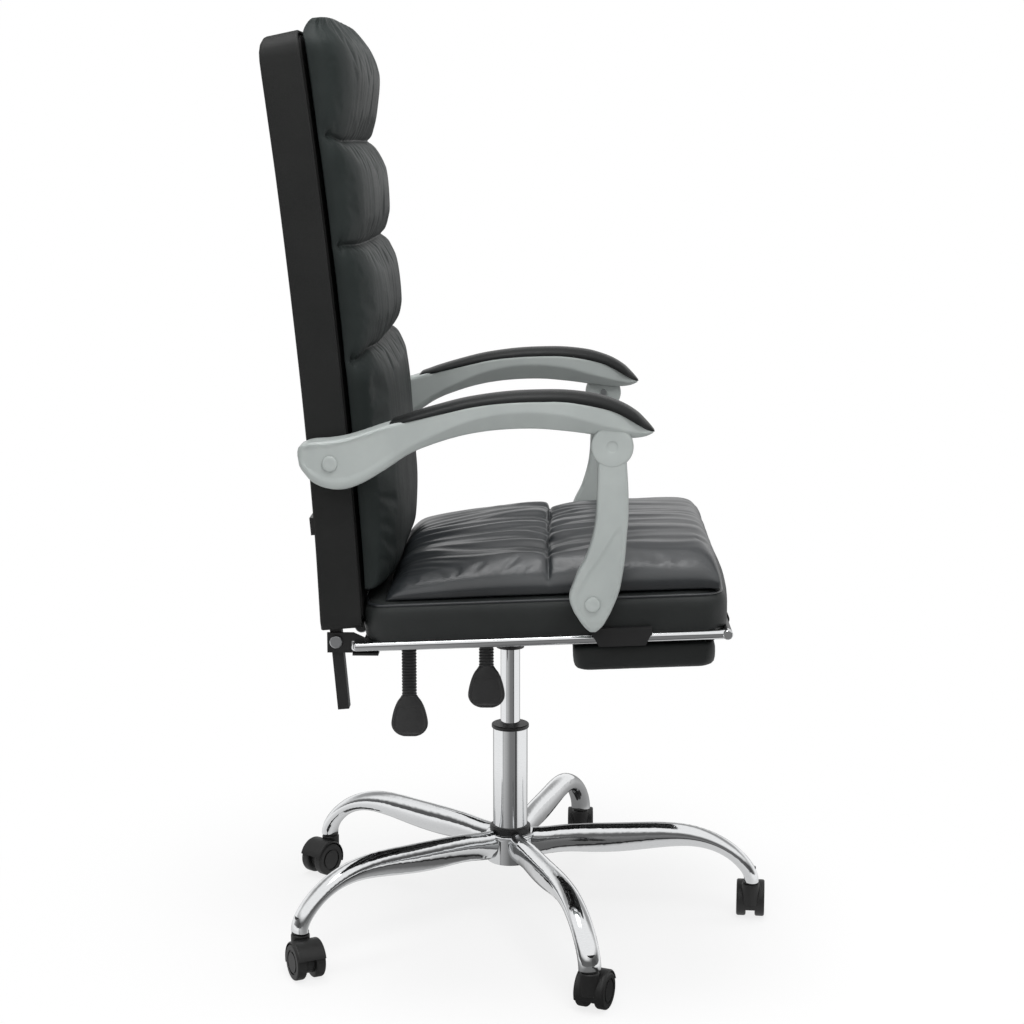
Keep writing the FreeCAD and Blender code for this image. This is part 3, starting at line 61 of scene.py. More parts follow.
def back_point(x, u, v):
    """Chair coordinates in metres of a point in the back's frame in millimetres."""
    u, v = u * mm, v * mm
    return Vector((x * mm, hinge_y + u * cos(back_rake) + v * sin(back_rake),
                   hinge_z - u * sin(back_rake) + v * cos(back_rake)))


def smooth_step(low, high, value):
    """Rises from 0 to 1 between two limits."""
    t = min(1, max(0, (value - low) / (high - low)))
    return t * t * (3 - 2 * t)


def table(rows, at, column=1):
    """Smooth value from a table of rows sorted by their first column."""
    keys = [r[0] for r in rows]
    if at <= keys[0]:
        return rows[0][column]
    if at >= keys[-1]:
        return rows[-1][column]
    i = max(k for k in range(len(keys) - 1) if keys[k] <= at)
    p1, p2 = rows[i][column], rows[i + 1][column]
    p0 = rows[i - 1][column] if i else p1
    p3 = rows[i + 2][column] if i + 2 < len(rows) else p2
    x0 = keys[i - 1] if i else keys[i] - 1
    x3 = keys[i + 2] if i + 2 < len(rows) else keys[i + 1] + 1
    x1, x2 = keys[i], keys[i + 1]
    m1 = (p2 - p0) / (x2 - x0) if i else (p2 - p1) / (x2 - x1)
    m2 = (p3 - p1) / (x3 - x1) if i + 2 < len(rows) else (p2 - p1) / (x2 - x1)
    span = x2 - x1
    t = (at - x1) / span
    return ((2 * t ** 3 - 3 * t ** 2 + 1) * p1 + (t ** 3 - 2 * t ** 2 + t) * span * m1
            + (3 * t ** 2 - 2 * t ** 3) * p2 + (t ** 3 - t ** 2) * span * m2)


# Materials

def shader(name):
    """New material with a Principled shader: returns it with its nodes, links and shader."""
    material = bpy.data.materials.new(name)
    material.use_nodes = True
    nodes, links = material.node_tree.nodes, material.node_tree.links
    return material, nodes, links, nodes["Principled BSDF"]


def add(nodes, kind, **values):
    """New node with its attributes and its inputs set."""
    node = nodes.new(kind)
    for key, value in values.items():
        if hasattr(node, key):
            setattr(node, key, value)
        else:
            node.inputs[key.replace("_", " ")].default_value = value
    return node


def object_coordinates(nodes, links, scale=(1, 1, 1)):
    """Object coordinates through a mapping."""
    coordinates = nodes.new("ShaderNodeTexCoord")
    mapping = nodes.new("ShaderNodeMapping")
    mapping.inputs["Scale"].default_value = scale
    links.new(coordinates.outputs["Object"], mapping.inputs["Vector"])
    return mapping.outputs["Vector"]


def feed(links, socket, value):
    """Links an output to an input, or sets the input to a plain value."""
    if isinstance(value, bpy.types.NodeSocket):
        links.new(value, socket)
    else:
        socket.default_value = value


def ramp(nodes, links, source, stops, interpolation="LINEAR"):
    """Ramp through stops of a position and a linear colour."""
    node = nodes.new("ShaderNodeValToRGB")
    node.color_ramp.interpolation = interpolation
    elements = node.color_ramp.elements
    for k, (position, color) in enumerate(stops):
        stop = elements[k] if k < 2 else elements.new(1)
        stop.position = position
        stop.color = (*color, 1)
    links.new(source, node.inputs["Fac"])
    return node.outputs["Color"]


def toned(nodes, links, source, dark, light):
    """Colour that changes slowly between two linear colours."""
    return ramp(nodes, links, source, ((0.35, dark), (0.65, light)))


def grey(stops):
    """Stops of a ramp from positions and grey values."""
    return [(position, (value, value, value)) for position, value in stops]


def ranged(nodes, links, source, low, high, start=0, end=1, smooth=False):
    """Maps the range of a value from start to end to another range."""
    node = nodes.new("ShaderNodeMapRange")
    if smooth:
        node.interpolation_type = "SMOOTHSTEP"
    for key, value in (("From Min", start), ("From Max", end), ("To Min", low), ("To Max", high)):
        node.inputs[key].default_value = value
    links.new(source, node.inputs["Value"])
    return node.outputs["Result"]


def bump(nodes, links, height, strength, distance, normal=None):
    """Bump node over another one."""
    node = nodes.new("ShaderNodeBump")
    node.inputs["Strength"].default_value = strength
    node.inputs["Distance"].default_value = distance
    links.new(height, node.inputs["Height"])
    if normal:
        links.new(normal, node.inputs["Normal"])
    return node.outputs["Normal"]


def texture(nodes, links, where, kind="Noise", output="Fac", **values):
    """Output of a new texture at the given coordinates."""
    node = add(nodes, "ShaderNodeTex" + kind, **values)
    links.new(where, node.inputs["Vector"])
    return node.outputs[output]


def leather(name, dark, light, rough_low, rough_high, grain=1100, crease=0.35, gloss=0.4, pebble=1.0):
    """Grained leather: pebbled cells, fine creases and a slow change of tone."""
    material, nodes, links, bsdf = shader(name)
    where = object_coordinates(nodes, links)
    cells = texture(nodes, links, where, "Voronoi", "Distance", feature="DISTANCE_TO_EDGE", Scale=grain)
    fine = texture(nodes, links, where, Scale=grain * 0.35, Detail=3.0, Roughness=0.6)
    slow = texture(nodes, links, where, Scale=9.0, Detail=3.0, Roughness=0.55)
    worn = texture(nodes, links, where, Scale=55.0, Detail=4.0, Roughness=0.6)
    links.new(toned(nodes, links, slow, dark, light), bsdf.inputs["Base Color"])
    links.new(ranged(nodes, links, worn, rough_low, rough_high), bsdf.inputs["Roughness"])
    normal = bump(nodes, links, worn, crease, 0.0012)
    normal = bump(nodes, links, fine, 0.25 * pebble, 0.0004, normal)
    normal = bump(nodes, links, cells, 0.22 * pebble, 0.0005, normal)
    links.new(normal, bsdf.inputs["Normal"])
    bsdf.inputs["Specular IOR Level"].default_value = gloss
    return material


def plastic(name, dark, light, rough_low, rough_high, grain=1500):
    """Moulded plastic with a fine spark-eroded grain and slight tone changes."""
    material, nodes, links, bsdf = shader(name)
    where = object_coordinates(nodes, links)
    fine = texture(nodes, links, where, Scale=grain, Detail=2.0)
    slow = texture(nodes, links, where, Scale=12.0, Detail=4.0, Roughness=0.6)
    links.new(toned(nodes, links, slow, dark, light), bsdf.inputs["Base Color"])
    links.new(ranged(nodes, links, slow, rough_low, rough_high), bsdf.inputs["Roughness"])
    links.new(bump(nodes, links, fine, 0.3, 0.00012), bsdf.inputs["Normal"])
    return material


def metal(name, color, rough_low, rough_high):
    """Metal with faint polishing marks along it and small changes of gloss."""
    material, nodes, links, bsdf = shader(name)
    where = object_coordinates(nodes, links, (40, 40, 400))
    marks = texture(nodes, links, where, Scale=4.0, Detail=5.0, Roughness=0.65)
    dark = tuple(c * 0.93 for c in color)
    links.new(toned(nodes, links, marks, dark, color), bsdf.inputs["Base Color"])
    links.new(ranged(nodes, links, marks, rough_low, rough_high), bsdf.inputs["Roughness"])
    links.new(bump(nodes, links, marks, 0.15, 0.00002), bsdf.inputs["Normal"])
    bsdf.inputs["Metallic"].default_value = 1.0
    return material


# Each with its dark and light linear colour and its lowest and highest roughness
cushion_leather = leather("cushion_leather", (0.0145, 0.0178, 0.0172), (0.0210, 0.0252, 0.0245),
                          0.42, 0.52, gloss=0.11)
# Seat pad and piping: the leather's own dark colour, darkened further as painted shade so that the pad's side
# wall looks shaded
shaded_seat_leather = leather("shaded_seat_leather", (0.0095, 0.0112, 0.0128), (0.0150, 0.0172, 0.0192),
                       0.31, 0.38, crease=0.05, gloss=1.0, pebble=0.2)
side_leather = leather("side_leather", (0.0115, 0.0130, 0.0128), (0.0160, 0.0178, 0.0176),
                       0.44, 0.56, crease=0.2)
shell_leather = leather("shell_leather", (0.0096, 0.0100, 0.0098), (0.0120, 0.0124, 0.0121),
                        0.50, 0.60, crease=0.12, gloss=0.3)
pad_leather = leather("arm_pad_skin", (0.0072, 0.0078, 0.0078), (0.0108, 0.0116, 0.0116),
                      0.38, 0.46, grain=1500, crease=0.1, gloss=0.25)
board_cover = leather("board_cover", (0.006, 0.006, 0.006), (0.010, 0.010, 0.010),
                      0.75, 0.9, grain=2600, crease=0.1)
grey_plastic = plastic("grey_plastic", (0.300, 0.324, 0.316), (0.331, 0.356, 0.347), 0.40, 0.48)
black_plastic = plastic("black_plastic", (0.0085, 0.0085, 0.0088), (0.0125, 0.0125, 0.0128), 0.36, 0.48)
caster_plastic = plastic("caster_plastic", (0.0065, 0.0065, 0.0065), (0.0100, 0.0100, 0.0100), 0.42, 0.55)
lever_plastic = plastic("lever_plastic", (0.0165, 0.0165, 0.0168), (0.0240, 0.0240, 0.0244), 0.34, 0.44)
black_paint = plastic("black_paint", (0.0090, 0.0090, 0.0092), (0.0130, 0.0130, 0.0132), 0.32, 0.44,
                      grain=700)
chrome = metal("chrome", (0.80, 0.81, 0.82), 0.05, 0.09)
steel = metal("steel", (0.50, 0.51, 0.52), 0.25, 0.38)

finishes = {
    "chrome": chrome, "steel": steel, "black_metal": black_paint, "black_plastic": black_plastic,
    "grey_plastic": grey_plastic, "arm_pad_foam": pad_leather, "leather": cushion_leather,
    "shell": shell_leather, "plywood": board_cover,
}
for part in frame["record"]["subparts"]:
    node = frame["nodes"][part["node"]]
    finish = finishes[part["material_slot"]]
    if part["node"].startswith("caster_") and part["material_slot"] != "steel":
        finish = caster_plastic
    if part["node"] == "footrest_crossbar":
        finish = black_paint
    for material_slot in node.material_slots:
        material_slot.material = finish
    if not node.material_slots:
        node.data.materials.append(finish)


# Meshes

def finished(name, mesh, material, body, replaced=(), sharp=None):
    """Links a mesh as a named piece on a body."""
    mesh.name = name
    piece = bpy.data.objects.new(name, mesh)
    scene.collection.objects.link(piece)
    mesh.materials.append(material)
    mesh.shade_smooth()
    if sharp:
        mesh.set_sharp_from_angle(angle=radians(sharp))
    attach(piece, body)
    if replaced:
        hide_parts(*replaced)
    return piece


def as_mesh(shape):
    """Mesh data of a shape in the making, which is freed."""
    data = bpy.data.meshes.new("mesh")
    shape.to_mesh(data)
    shape.free()
    return data


def skin(rings, cap=True):
    """Mesh through like rings of points, capped by fans at both ends or else welded where they meet."""
    shape = bmesh.new()
    rows = [[shape.verts.new(p) for p in ring] for ring in rings]
    count = len(rings[0])
    for a, b in zip(rows, rows[1:]):
        for i in range(count):
            j = (i + 1) % count
            shape.faces.new((a[i], a[j], b[j], b[i]))
    if cap:
        for row in (rows[0], rows[-1]):
            hub = shape.verts.new(sum((v.co for v in row), Vector()) / count)
            for i in range(count):
                shape.faces.new((row[i], row[(i + 1) % count], hub))
    else:
        bmesh.ops.remove_doubles(shape, verts=shape.verts, dist=0.00001)
    bmesh.ops.recalc_face_normals(shape, faces=shape.faces)
    return as_mesh(shape)


def joined(meshes):
    """One mesh of several."""
    whole = bmesh.new()
    for mesh in meshes:
        whole.from_mesh(mesh)
        bpy.data.meshes.remove(mesh)
    return as_mesh(whole)


def turned(profile, centre, axis, steps=72):
    """Mesh turned about an axis from a profile of distance along it and radius, in millimetres."""
    axis = Vector(axis).normalized()
    across = axis.orthogonal().normalized()
    other = axis.cross(across)
    centre = Vector(centre)
    rings = []
    for along, radius in profile:
        rings.append([centre + axis * along * mm
                      + (across * cos(2 * pi * i / steps) + other * sin(2 * pi * i / steps)) * radius * mm
                      for i in range(steps)])
    return skin(rings)


def rectangle(half, low, high):
    """Corners of a rectangle about the middle plane."""
    return [Vector((x, y, 0)) for x, y in ((-half, low), (half, low), (half, high), (-half, high))]


def resampled(points, count):
    """Closed outline with evenly spaced points."""
    lengths = [0]
    loop = points + points[:1]
    for a, b in zip(loop, loop[1:]):
        lengths.append(lengths[-1] + (b - a).length)
    total, out, k = lengths[-1], [], 0
    for i in range(count):
        target = total * i / count
        while lengths[k + 1] < target:
            k += 1
        t = (target - lengths[k]) / (lengths[k + 1] - lengths[k])
        out.append(loop[k].lerp(loop[k + 1], t))
    return out


def round_corners(corners, radii, steps=6):
    """Flat outline with its corners rounded by arcs."""
    out = []
    count = len(corners)
    for i, here in enumerate(corners):
        before, after = (corners[i - 1] - here).normalized(), (corners[(i + 1) % count] - here).normalized()
        half = before.angle(after) / 2
        reach = radii[i] / max(1e-6, abs(sin(half) / cos(half)))
        start, end = here + before * reach, here + after * reach
        centre = here + (before + after).normalized() * (radii[i] / sin(half))
        for k in range(steps + 1):
            t = k / steps
            point = start.lerp(end, t)
            out.append(centre + (point - centre).normalized() * radii[i])
    return out


# Soft goods

# Height of the shell's lower and upper end, and depth, loss over the height and bow of its front edge
shell_low, shell_high = 20, 789
rim_depth, rim_loss, rim_bow = 38, 7, 7.5


def shell_front(v):
    """Depth of the shell's front edge at a height."""
    share = (v - shell_low) / (shell_high - shell_low)
    return -(rim_depth - rim_loss * share + rim_bow * 4 * share * (1 - share))


cloth_frames = 20
cloth = {
    "quality": 5, "mass": 0.3, "tension_stiffness": 15, "compression_stiffness": 15, "shear_stiffness": 5,
    "bending_stiffness": 0.5, "tension_damping": 5, "compression_damping": 5, "shear_damping": 5,
    "vertex_group_mass": "held", "pin_stiffness": 1, "use_pressure": True,
}


def settled(piece, held, pressure, swell, most):
    """Lets a cover settle over its filling, held where the list of weights says, and keeps that shape.

    No point travels further than most, in metres.
    """
    data = piece.data
    before = [v.co.copy() for v in data.vertices]
    group = piece.vertex_groups.new(name="held")
    for i, weight in enumerate(held):
        if weight > 0:
            group.add([i], weight, "REPLACE")
    cover = piece.modifiers.new("cover", "CLOTH")
    for key, value in cloth.items():
        setattr(cover.settings, key, value)
    cover.settings.uniform_pressure_force = pressure
    cover.settings.shrink_min = -swell
    cover.settings.effector_weights.gravity = 0
    cover.point_cache.frame_start = 1
    cover.point_cache.frame_end = cloth_frames
    for frame_number in range(1, cloth_frames + 1):
        scene.frame_set(frame_number)
    result = piece.evaluated_get(bpy.context.evaluated_depsgraph_get()).data
    after = [v.co.copy() for v in result.vertices]
    piece.modifiers.remove(cover)
    piece.vertex_groups.remove(group)
    for vertex, a, b in zip(data.vertices, before, after):
        move = b - a
        if move.length > most:
            move *= most / move.length
        vertex.co = a + move
    scene.frame_set(1)


def refined(piece):
    """Adds and applies one level of subdivision."""
    modifier = piece.modifiers.new("smooth", "SUBSURF")
    modifier.levels = modifier.render_levels = 1
    mesh = bpy.data.meshes.new_from_object(piece.evaluated_get(bpy.context.evaluated_depsgraph_get()))
    mesh.name = piece.data.name
    piece.modifiers.remove(modifier)
    piece.data = mesh
    mesh.shade_smooth()


def waves(x, y, z):
    """Smooth noise between about -1 and 1."""
    return noise.noise(Vector((x, y, z)))

def ripple(place, seed, stretch):
    """Uneven waves along a seam, in the range of about -1 to 1."""
    return (waves(place * 0.100, seed, stretch * 0.004) * 1.2
            + waves(place * 0.210, seed + 5, stretch * 0.009) * 0.6)


def crowned(half, crown, columns, wide=4.2, deep=2.1, droop=0.0, level=1.0, steps=3000):
    """Evenly spaced points of a crowned section from one edge to the other.

    Each is its place and height as shares of the half width and crown, its outward normal and its
    distance from the nearer edge along the section.
    """
    fine = []
    for k in range(steps + 1):
        x = cos(pi * k / steps)
        z = max(0, 1 - abs(x) ** wide) ** (1 / deep) * (1 - droop * abs(x) ** 2.5) * level
        fine.append((x, z))
    lengths = [0.0]
    for (x0, z0), (x1, z1) in zip(fine, fine[1:]):
        lengths.append(lengths[-1] + sqrt(((x1 - x0) * half) ** 2 + ((z1 - z0) * crown) ** 2))
    out, k = [], 0
    for i in range(columns):
        target = lengths[-1] * i / (columns - 1)
        while k < steps - 1 and lengths[k + 1] < target:
            k += 1
        t = min(1, (target - lengths[k]) / (lengths[k + 1] - lengths[k]))
        (x0, z0), (x1, z1) = fine[k], fine[k + 1]
        span = sqrt(((x1 - x0) * half) ** 2 + ((z1 - z0) * crown) ** 2)
        out.append((x0 + (x1 - x0) * t, z0 + (z1 - z0) * t,
                    (z1 - z0) * crown / span, (x0 - x1) * half / span,
                    min(target, lengths[-1] - target)))
    return out


# Back cushion: its depth ahead of the shell's front edge by height
cushion_rows = (
    (63, 28), (72, 40), (99, 49), (157, 56), (240, 57), (300, 58), (345, 56), (362, 52.5), (373, 47.5),
    (380, 42.5), (387, 47.5), (400, 53), (422, 56.5), (447, 57.5), (472, 56.5), (490, 53.5), (503, 50),
    (510, 46), (515, 41), (521, 45), (532, 49.5), (550, 53.5), (580, 56.8), (605, 56.8), (625, 53.5),
    (638, 48), (644, 43.5), (649, 38.5), (656, 42), (675, 49), (700, 56.5), (725, 62.8), (745, 64.8),
    (760, 63.8), (775, 59), (785, 53.5), (793, 48), (800, 43), (804, 40), (808, 36),
)
# Distance of its rear edge ahead of the gap at the shell by height
rear_rows = ((63, 0), (775, 0), (785, -2.5), (792, -0.5), (799, 4), (805, 10.5), (808, 16))
# Height of each seam in front and on the flanks, and distance of its end tufts from the cushion's edge
seams = ((380, 369, 22), (515, 517, 24), (649, 657, 33))
seam_heights = [seam[0] for seam in seams]
cushion_half, cushion_crown, cushion_columns = 240, 60, 160
cushion_low, cushion_high = 63, 808
cushion_gap = 3.2
cushion_section = crowned(cushion_half, cushion_crown, cushion_columns)
# Narrowing where it is thinner than its full depth and at its head, tuck of its flanks, and half its girth
thin_loss, full_depth, head_loss, flank_tuck, half_girth = 5, 60, 24, 12, 270
# Depth and reach of a seam's groove, of the dip around it on the flanks, and of a tuft across and up
groove_depth, groove_reach = 3.6, 2.8
dip_depth, dip_reach = 3.2, 17
tuft_depth, tuft_across, tuft_up = 6.5, 6, 6.5
# Distances from its edge over which its flanks end, the folds of its front begin and its tuck ends
flank_end, folds_begin, tuck_end = (34, 80), (34, 92), (-8, 42)
# Heights over which its head narrows and gathers and its foot's folds end, and reach of a seam's bend
head_start, head_top, foot_end, bend_reach = (752, 808), (768, 803), (63, 120), 45
# Heights of the gathers at the seams, of slow, fine and broad waves, and of the folds at both ends
gathers, slow_waves, fine_waves, broad_waves, head_folds, foot_folds = 1.3, 0.6, 0.25, 1.1, 2.2, 1.2


def cushion_point(column, v):
    """Point of the back cushion at a column across it and a height."""
    place, share, across_out, ahead_out, edge = cushion_section[column]
    sign = 1 if place > 0 else -1
    side = 1 - smooth_step(*flank_end, edge)
    front_part = smooth_step(*folds_begin, edge)
    depth = table(cushion_rows, v)
    high = smooth_step(*head_start, v)
    half = cushion_half - thin_loss * (1 - min(1, depth / full_depth)) - head_loss * high * high
    x = place * half - sign * flank_tuck * (1 - smooth_step(*tuck_end, edge))
    along = sign * (half_girth - edge)
    groove = fold = 0
    height = v
    for k, (front_height, side_height, tuft) in enumerate(seams):
        away = v - front_height
        above = away > 0
        height += (side_height - front_height) * side * exp(-(away / bend_reach) ** 2)
        groove += groove_depth * exp(-(away / groove_reach) ** 2) * smooth_step(tuft - 4, tuft + 8, edge)
        groove += side * dip_depth * exp(-(away / dip_reach) ** 2) * smooth_step(6, 24, edge)
        groove += tuft_depth * exp(-((edge - tuft) / tuft_across) ** 2) * exp(-(away / tuft_up) ** 2)
        strength = 0.7 + 0.8 * waves(along * 0.012, 5.0 * k, 1.0 if above else 2.0)
        fade = exp(-abs(away) / (42 if above else 26))
        fold += gathers * strength * fade * front_part * ripple(along, 3.7 * k + (0 if above else 50), away)
    fold += slow_waves * waves(along * 0.040 + 0.0015 * (v - 400), v * 0.0040, 8.0) * front_part
    fold += fine_waves * waves(along * 0.110 + 0.0020 * (v - 400), v * 0.0050, 18.0) \
        * smooth_step(60, 120, edge)
    fold += broad_waves * waves(along * 0.014, v * 0.016, 28.0)
    fold += head_folds * smooth_step(*head_top, v) * ripple(along * 0.9, 40.0, v) * smooth_step(8, 34, edge)
    fold += foot_folds * (1 - smooth_step(*foot_end, v)) * ripple(along, 60.0, v) * smooth_step(20, 70, edge)
    behind = table(rear_rows, v)
    u = shell_front(v) - cushion_gap - behind - share * max(0.0, depth - cushion_gap - behind)
    push = fold - groove
    return back_point(x + across_out * push, u - ahead_out * push, height)


# Distance between the rows of a cushion's mesh, and how many columns at its edges are held fully and partly
row_step = 4.4
held_columns, held_fade = 7, 6


def cushion_mesh(point, columns, first, last, seam_places):
    """Mesh of a cushion from its points, and the weights that hold its edges and seams."""
    places = spread(first, last, seam_places)
    rings, held = [], []
    for k, along in enumerate(places):
        rings.append([point(i, along) for i in range(columns)])
        at_end = k < 2 or k > len(places) - 3
        at_seam = any(abs(along - seam) < row_step * 0.6 for seam in seam_places)
        for i in range(columns):
            near = min(i, columns - 1 - i)
            fixed = at_end or at_seam or near < held_columns
            held.append(1 if fixed else max(0, 1 - (near - held_columns) / held_fade))
    return skin(rings), held + [1, 1]


# Seat pad: places along its middle from its nose's lower edge to its tail, with the height above its edge
seat_top = (
    (-272.5, 0.5), (-277.5, 3.5), (-281.8, 9), (-284.4, 16), (-285, 24), (-284, 33), (-281.5, 42),
    (-276.5, 50), (-269, 56), (-258, 59.5), (-240, 61.5), (-210, 62.5), (-160, 62.5), (-110, 62), (-85, 60),
    (-70, 57.5), (-63, 55.5), (-59, 53.5), (-55, 55.5), (-46, 57.5), (-20, 58), (15, 57), (54, 53),
    (90, 47.5), (118, 41.5), (136, 35), (148, 25), (155, 14), (157.5, 7), (156.5, 2.5), (153, 0.5),
)


def measured(points):
    """Rows of a table keyed by the way along its points."""
    rows = [(0.0, *points[0])]
    for (y0, z0), (y1, z1) in zip(points, points[1:]):
        rows.append((rows[-1][0] + sqrt((y1 - y0) ** 2 + (z1 - z0) ** 2), y1, z1))
    return rows


seat_rows = measured(seat_top)
seat_seam = next(row[0] for row in seat_rows if row[1] == -59)
seat_length = seat_rows[-1][0]
pad_half, pad_crown, pad_foot, pad_columns = 242, 60, 48.5, 156
pad_section = crowned(pad_half, pad_crown, pad_columns, wide=10, deep=2.4, droop=0.18, level=0.955)
# Narrowing of its nose and tail, tuck of its flanks, and how the folds wander and fan out
end_loss, pad_tuck, wander, fan = 14, 5, 34, 0.10
# Height at the seam and reach of the folds behind it and ahead of it, and the height that they keep
rear_folds, rear_reach, front_folds, front_reach, kept_folds = 7.0, 210, 5.6, 90, 0.4
# Heights of the gathers at the seam and the waves of the flanks, and depth and reach of the seam's groove
pad_gathers, flank_waves, pad_groove, pad_groove_reach = 1.0, 0.8, 3.0, 2.4


def pad_point(column, along):
    """Point of the seat pad at a column across it and a way along its top."""
    place, share, across_out, up_out, edge = pad_section[column]
    sign = 1 if place > 0 else -1
    y, crown = table(seat_rows, along, 1), table(seat_rows, along, 2)
    half = pad_half - end_loss * (1 - min(1, crown / 50)) ** 2
    x = place * half - sign * pad_tuck * (1 - smooth_step(-6, 16, edge)) * min(1, crown / 30)
    away = along - seat_seam
    rear = away > 0
    across = place * pad_half
    warp = wander * waves(across * 0.005, along * 0.009, 4.2) + fan * across * abs(away) / 100
    folds = (waves((across + warp) * 0.027, 9.1 if rear else 2.3, along * 0.0050) * 1.7
             + waves((across + warp) * 0.058, 13.7 if rear else 6.1, along * 0.0085) * 0.7)
    strength = rear_folds * exp(-away / rear_reach) if rear else front_folds * exp(away / front_reach)
    fold = folds * (strength + kept_folds) * smooth_step(34, 84, edge)
    fold += pad_gathers * exp(-abs(away) / 24) * ripple(across, 90.0 if rear else 95.0, away) \
        * smooth_step(36, 70, edge)
    fold += flank_waves * (1 - smooth_step(20, 40, edge)) * waves(along * 0.03, 71.0 + sign, 0.0)
    groove = pad_groove * exp(-(away / pad_groove_reach) ** 2) * smooth_step(16, 44, edge)
    push = fold - groove
    return seat_point(x + across_out * push, y, pad_foot + share * crown + up_out * push)


# Free distance beside a seam, and the distance of the rows that take its place
seam_clear, seam_step = 3.2, 1.6


def spread(first, last, seam_places):
    """Evenly spaced places between two ends, closer at seams."""
    count = int((last - first) / row_step)
    places = [first + (last - first) * k / count for k in range(count + 1)]
    places = [p for p in places if all(abs(p - seam) > seam_clear for seam in seam_places)]
    return sorted(places + [seam + off for seam in seam_places for off in (-seam_step, 0, seam_step)])


def plan_ring(half, front, rear, corner, z, count=240, bow=0.0):
    """Rounded rectangle across the seat at a height, its front bowed forward."""
    points = []
    for p in resampled(round_corners(rectangle(half, front, rear), [corner] * 4, 10), count):
        ahead = 1 - smooth_step(front, front + 60, p.y)
        y = p.y - bow * ahead * (1 - (p.x / half) ** 2)
        points.append((p.x, y, z))
    return points


# Middle of the seat's cushions along it, and their mean distance from that middle
wrap_middle, wrap_radius = -50, 260


def wrapped(points, seed, amount, reach, low, high):
    """Gives a ring the slight unevenness of a stapled cover, strongest at both its edges."""
    out = []
    for x, y, z in points:
        edge = exp(-(z - low) / reach) + 0.7 * exp(-(high - z) / reach)
        along = y - wrap_middle
        around = atan2(along, x) * wrap_radius
        push = amount * (edge * ripple(around, seed, z) + 0.35 * ripple(around * 0.35, seed + 3, z * 2))
        length = sqrt(x * x + along ** 2)
        out.append(seat_point(x * (1 + push / length), y + along * push / length, z))
    return out


# Upholstered base of the seat: inset of its outline by height, and its size at the widest
base_rows = (
    (0.4, 26), (-3.0, 22), (-4.6, 14), (-5.0, 9), (-4.4, 5), (-2.6, 2.4), (0.5, 1.0), (5, 0.3), (11, 0.1),
    (18, 0), (26, 0), (31, 0.2), (36, 1.0), (40, 2.3), (43, 4.2), (45.5, 6.8), (47.4, 10), (48.6, 14),
    (49.2, 19),
)
base_half, base_front, base_rear, base_corner, base_rear_bow = 250, -290, 187, 30, 6
piping_height, piping_inset, piping_radius, piping_steps = 45.0, 5.4, 1.9, 10


def base_ring(z, inset, bow_height):
    """Outline of the base at a height, with the forward bow of another, and bowed out between the hinges."""
    bow = 5 + 7.5 * (1 - ((bow_height - 20) / 30) ** 2)
    ring = plan_ring(base_half - inset, base_front + inset, base_rear - inset, base_corner, z, bow=bow)
    out = []
    for x, y, height in ring:
        behind = smooth_step(150, 180, y) * (1 - smooth_step(170, 215, abs(x)))
        out.append((x, y + base_rear_bow * behind, height))
    return wrapped(out, 31.0, 0.7, 9, 0, 50)


def base_piping():
    """Closed mesh of the piping along the upper edge of the base."""
    rings = []
    for k in range(piping_steps + 1):
        a = 2 * pi * k / piping_steps
        rings.append(base_ring(piping_height + piping_radius * sin(a), piping_inset - piping_radius * cos(a),
                               piping_height))
    return skin(rings, cap=False)


# Padding of the footrest: inset of its outline by height, and its size at the widest
foot_rows = (
    (-26.3, 5), (-28, 1.8), (-31, 0.6), (-35, 0), (-42, 0), (-49, 0.5), (-55, 2), (-58.5, 4.5), (-60.8, 8.5),
    (-61.8, 14),
)
foot_half, foot_front, foot_rear, foot_corner = 215, -277, -87, 14


def foot_ring(z, inset):
    """Outline of the footrest's padding at a height."""
    ring = plan_ring(foot_half - inset, foot_front + inset, foot_rear - inset, foot_corner, z)
    return wrapped(ring, 83.0, 0.5, 8, -62, -26)


shape, held = cushion_mesh(cushion_point, cushion_columns, cushion_low, cushion_high, seam_heights)
back_cushion = finished("back_cushion_cover", shape, cushion_leather, "back", ["back_cushion"])
settled(back_cushion, held, pressure=1.5, swell=0.012, most=0.003)
refined(back_cushion)
shape, held = cushion_mesh(pad_point, pad_columns, 0, seat_length, [seat_seam])
seat_pad = finished("seat_pad_cover", shape, shaded_seat_leather, "seat", ["seat_pad"])
settled(seat_pad, held, pressure=1.2, swell=0.006, most=0.002)
refined(seat_pad)
shape = skin([base_ring(z, inset, z) for z, inset in base_rows])
base_cushion = finished("seat_base_cover", shape, side_leather, "seat", ["seat_base_cushion"])
finished("seat_base_piping", base_piping(), shaded_seat_leather, "seat")
shape = skin([foot_ring(z, inset) for z, inset in foot_rows])
foot_cushion = finished("footrest_cover", shape, side_leather, "footrest_pad",
                        ["footrest_cushion"])


# Armrests and struts

# Armrest: height of its lower and upper face, share of its height below the crease and of its width by place
arm_rows = sorted((
    (264, 727, 737, 0.40, 0.42), (262, 718, 742.5, 0.30, 0.60), (257, 711, 746, 0.22, 0.74),
    (245, 698, 749.5, 0.15, 0.80), (225, 689.6, 751, 0.12, 0.80), (203, 689, 754.8, 0.12, 0.80),
    (180, 697.3, 761.5, 0.13, 0.82), (152, 714, 770.7, 0.16, 0.86), (120, 735, 779, 0.22, 0.92),
    (82, 750, 788, 0.34, 0.97), (45, 759.5, 796, 0.50, 1.00), (5, 765, 801.5, 0.60, 1.00),
    (-40, 766.5, 804, 0.60, 1.00), (-80, 763.5, 803.5, 0.52, 1.00), (-112, 759.7, 799, 0.42, 0.98),
    (-140, 756.5, 791.5, 0.36, 0.92), (-165, 755.5, 778, 0.36, 0.78), (-180, 757.5, 768.5, 0.40, 0.60),
    (-188.5, 761, 765, 0.45, 0.40),
))
arm_middle, arm_half, arm_foot_inset = 283, 28, 16
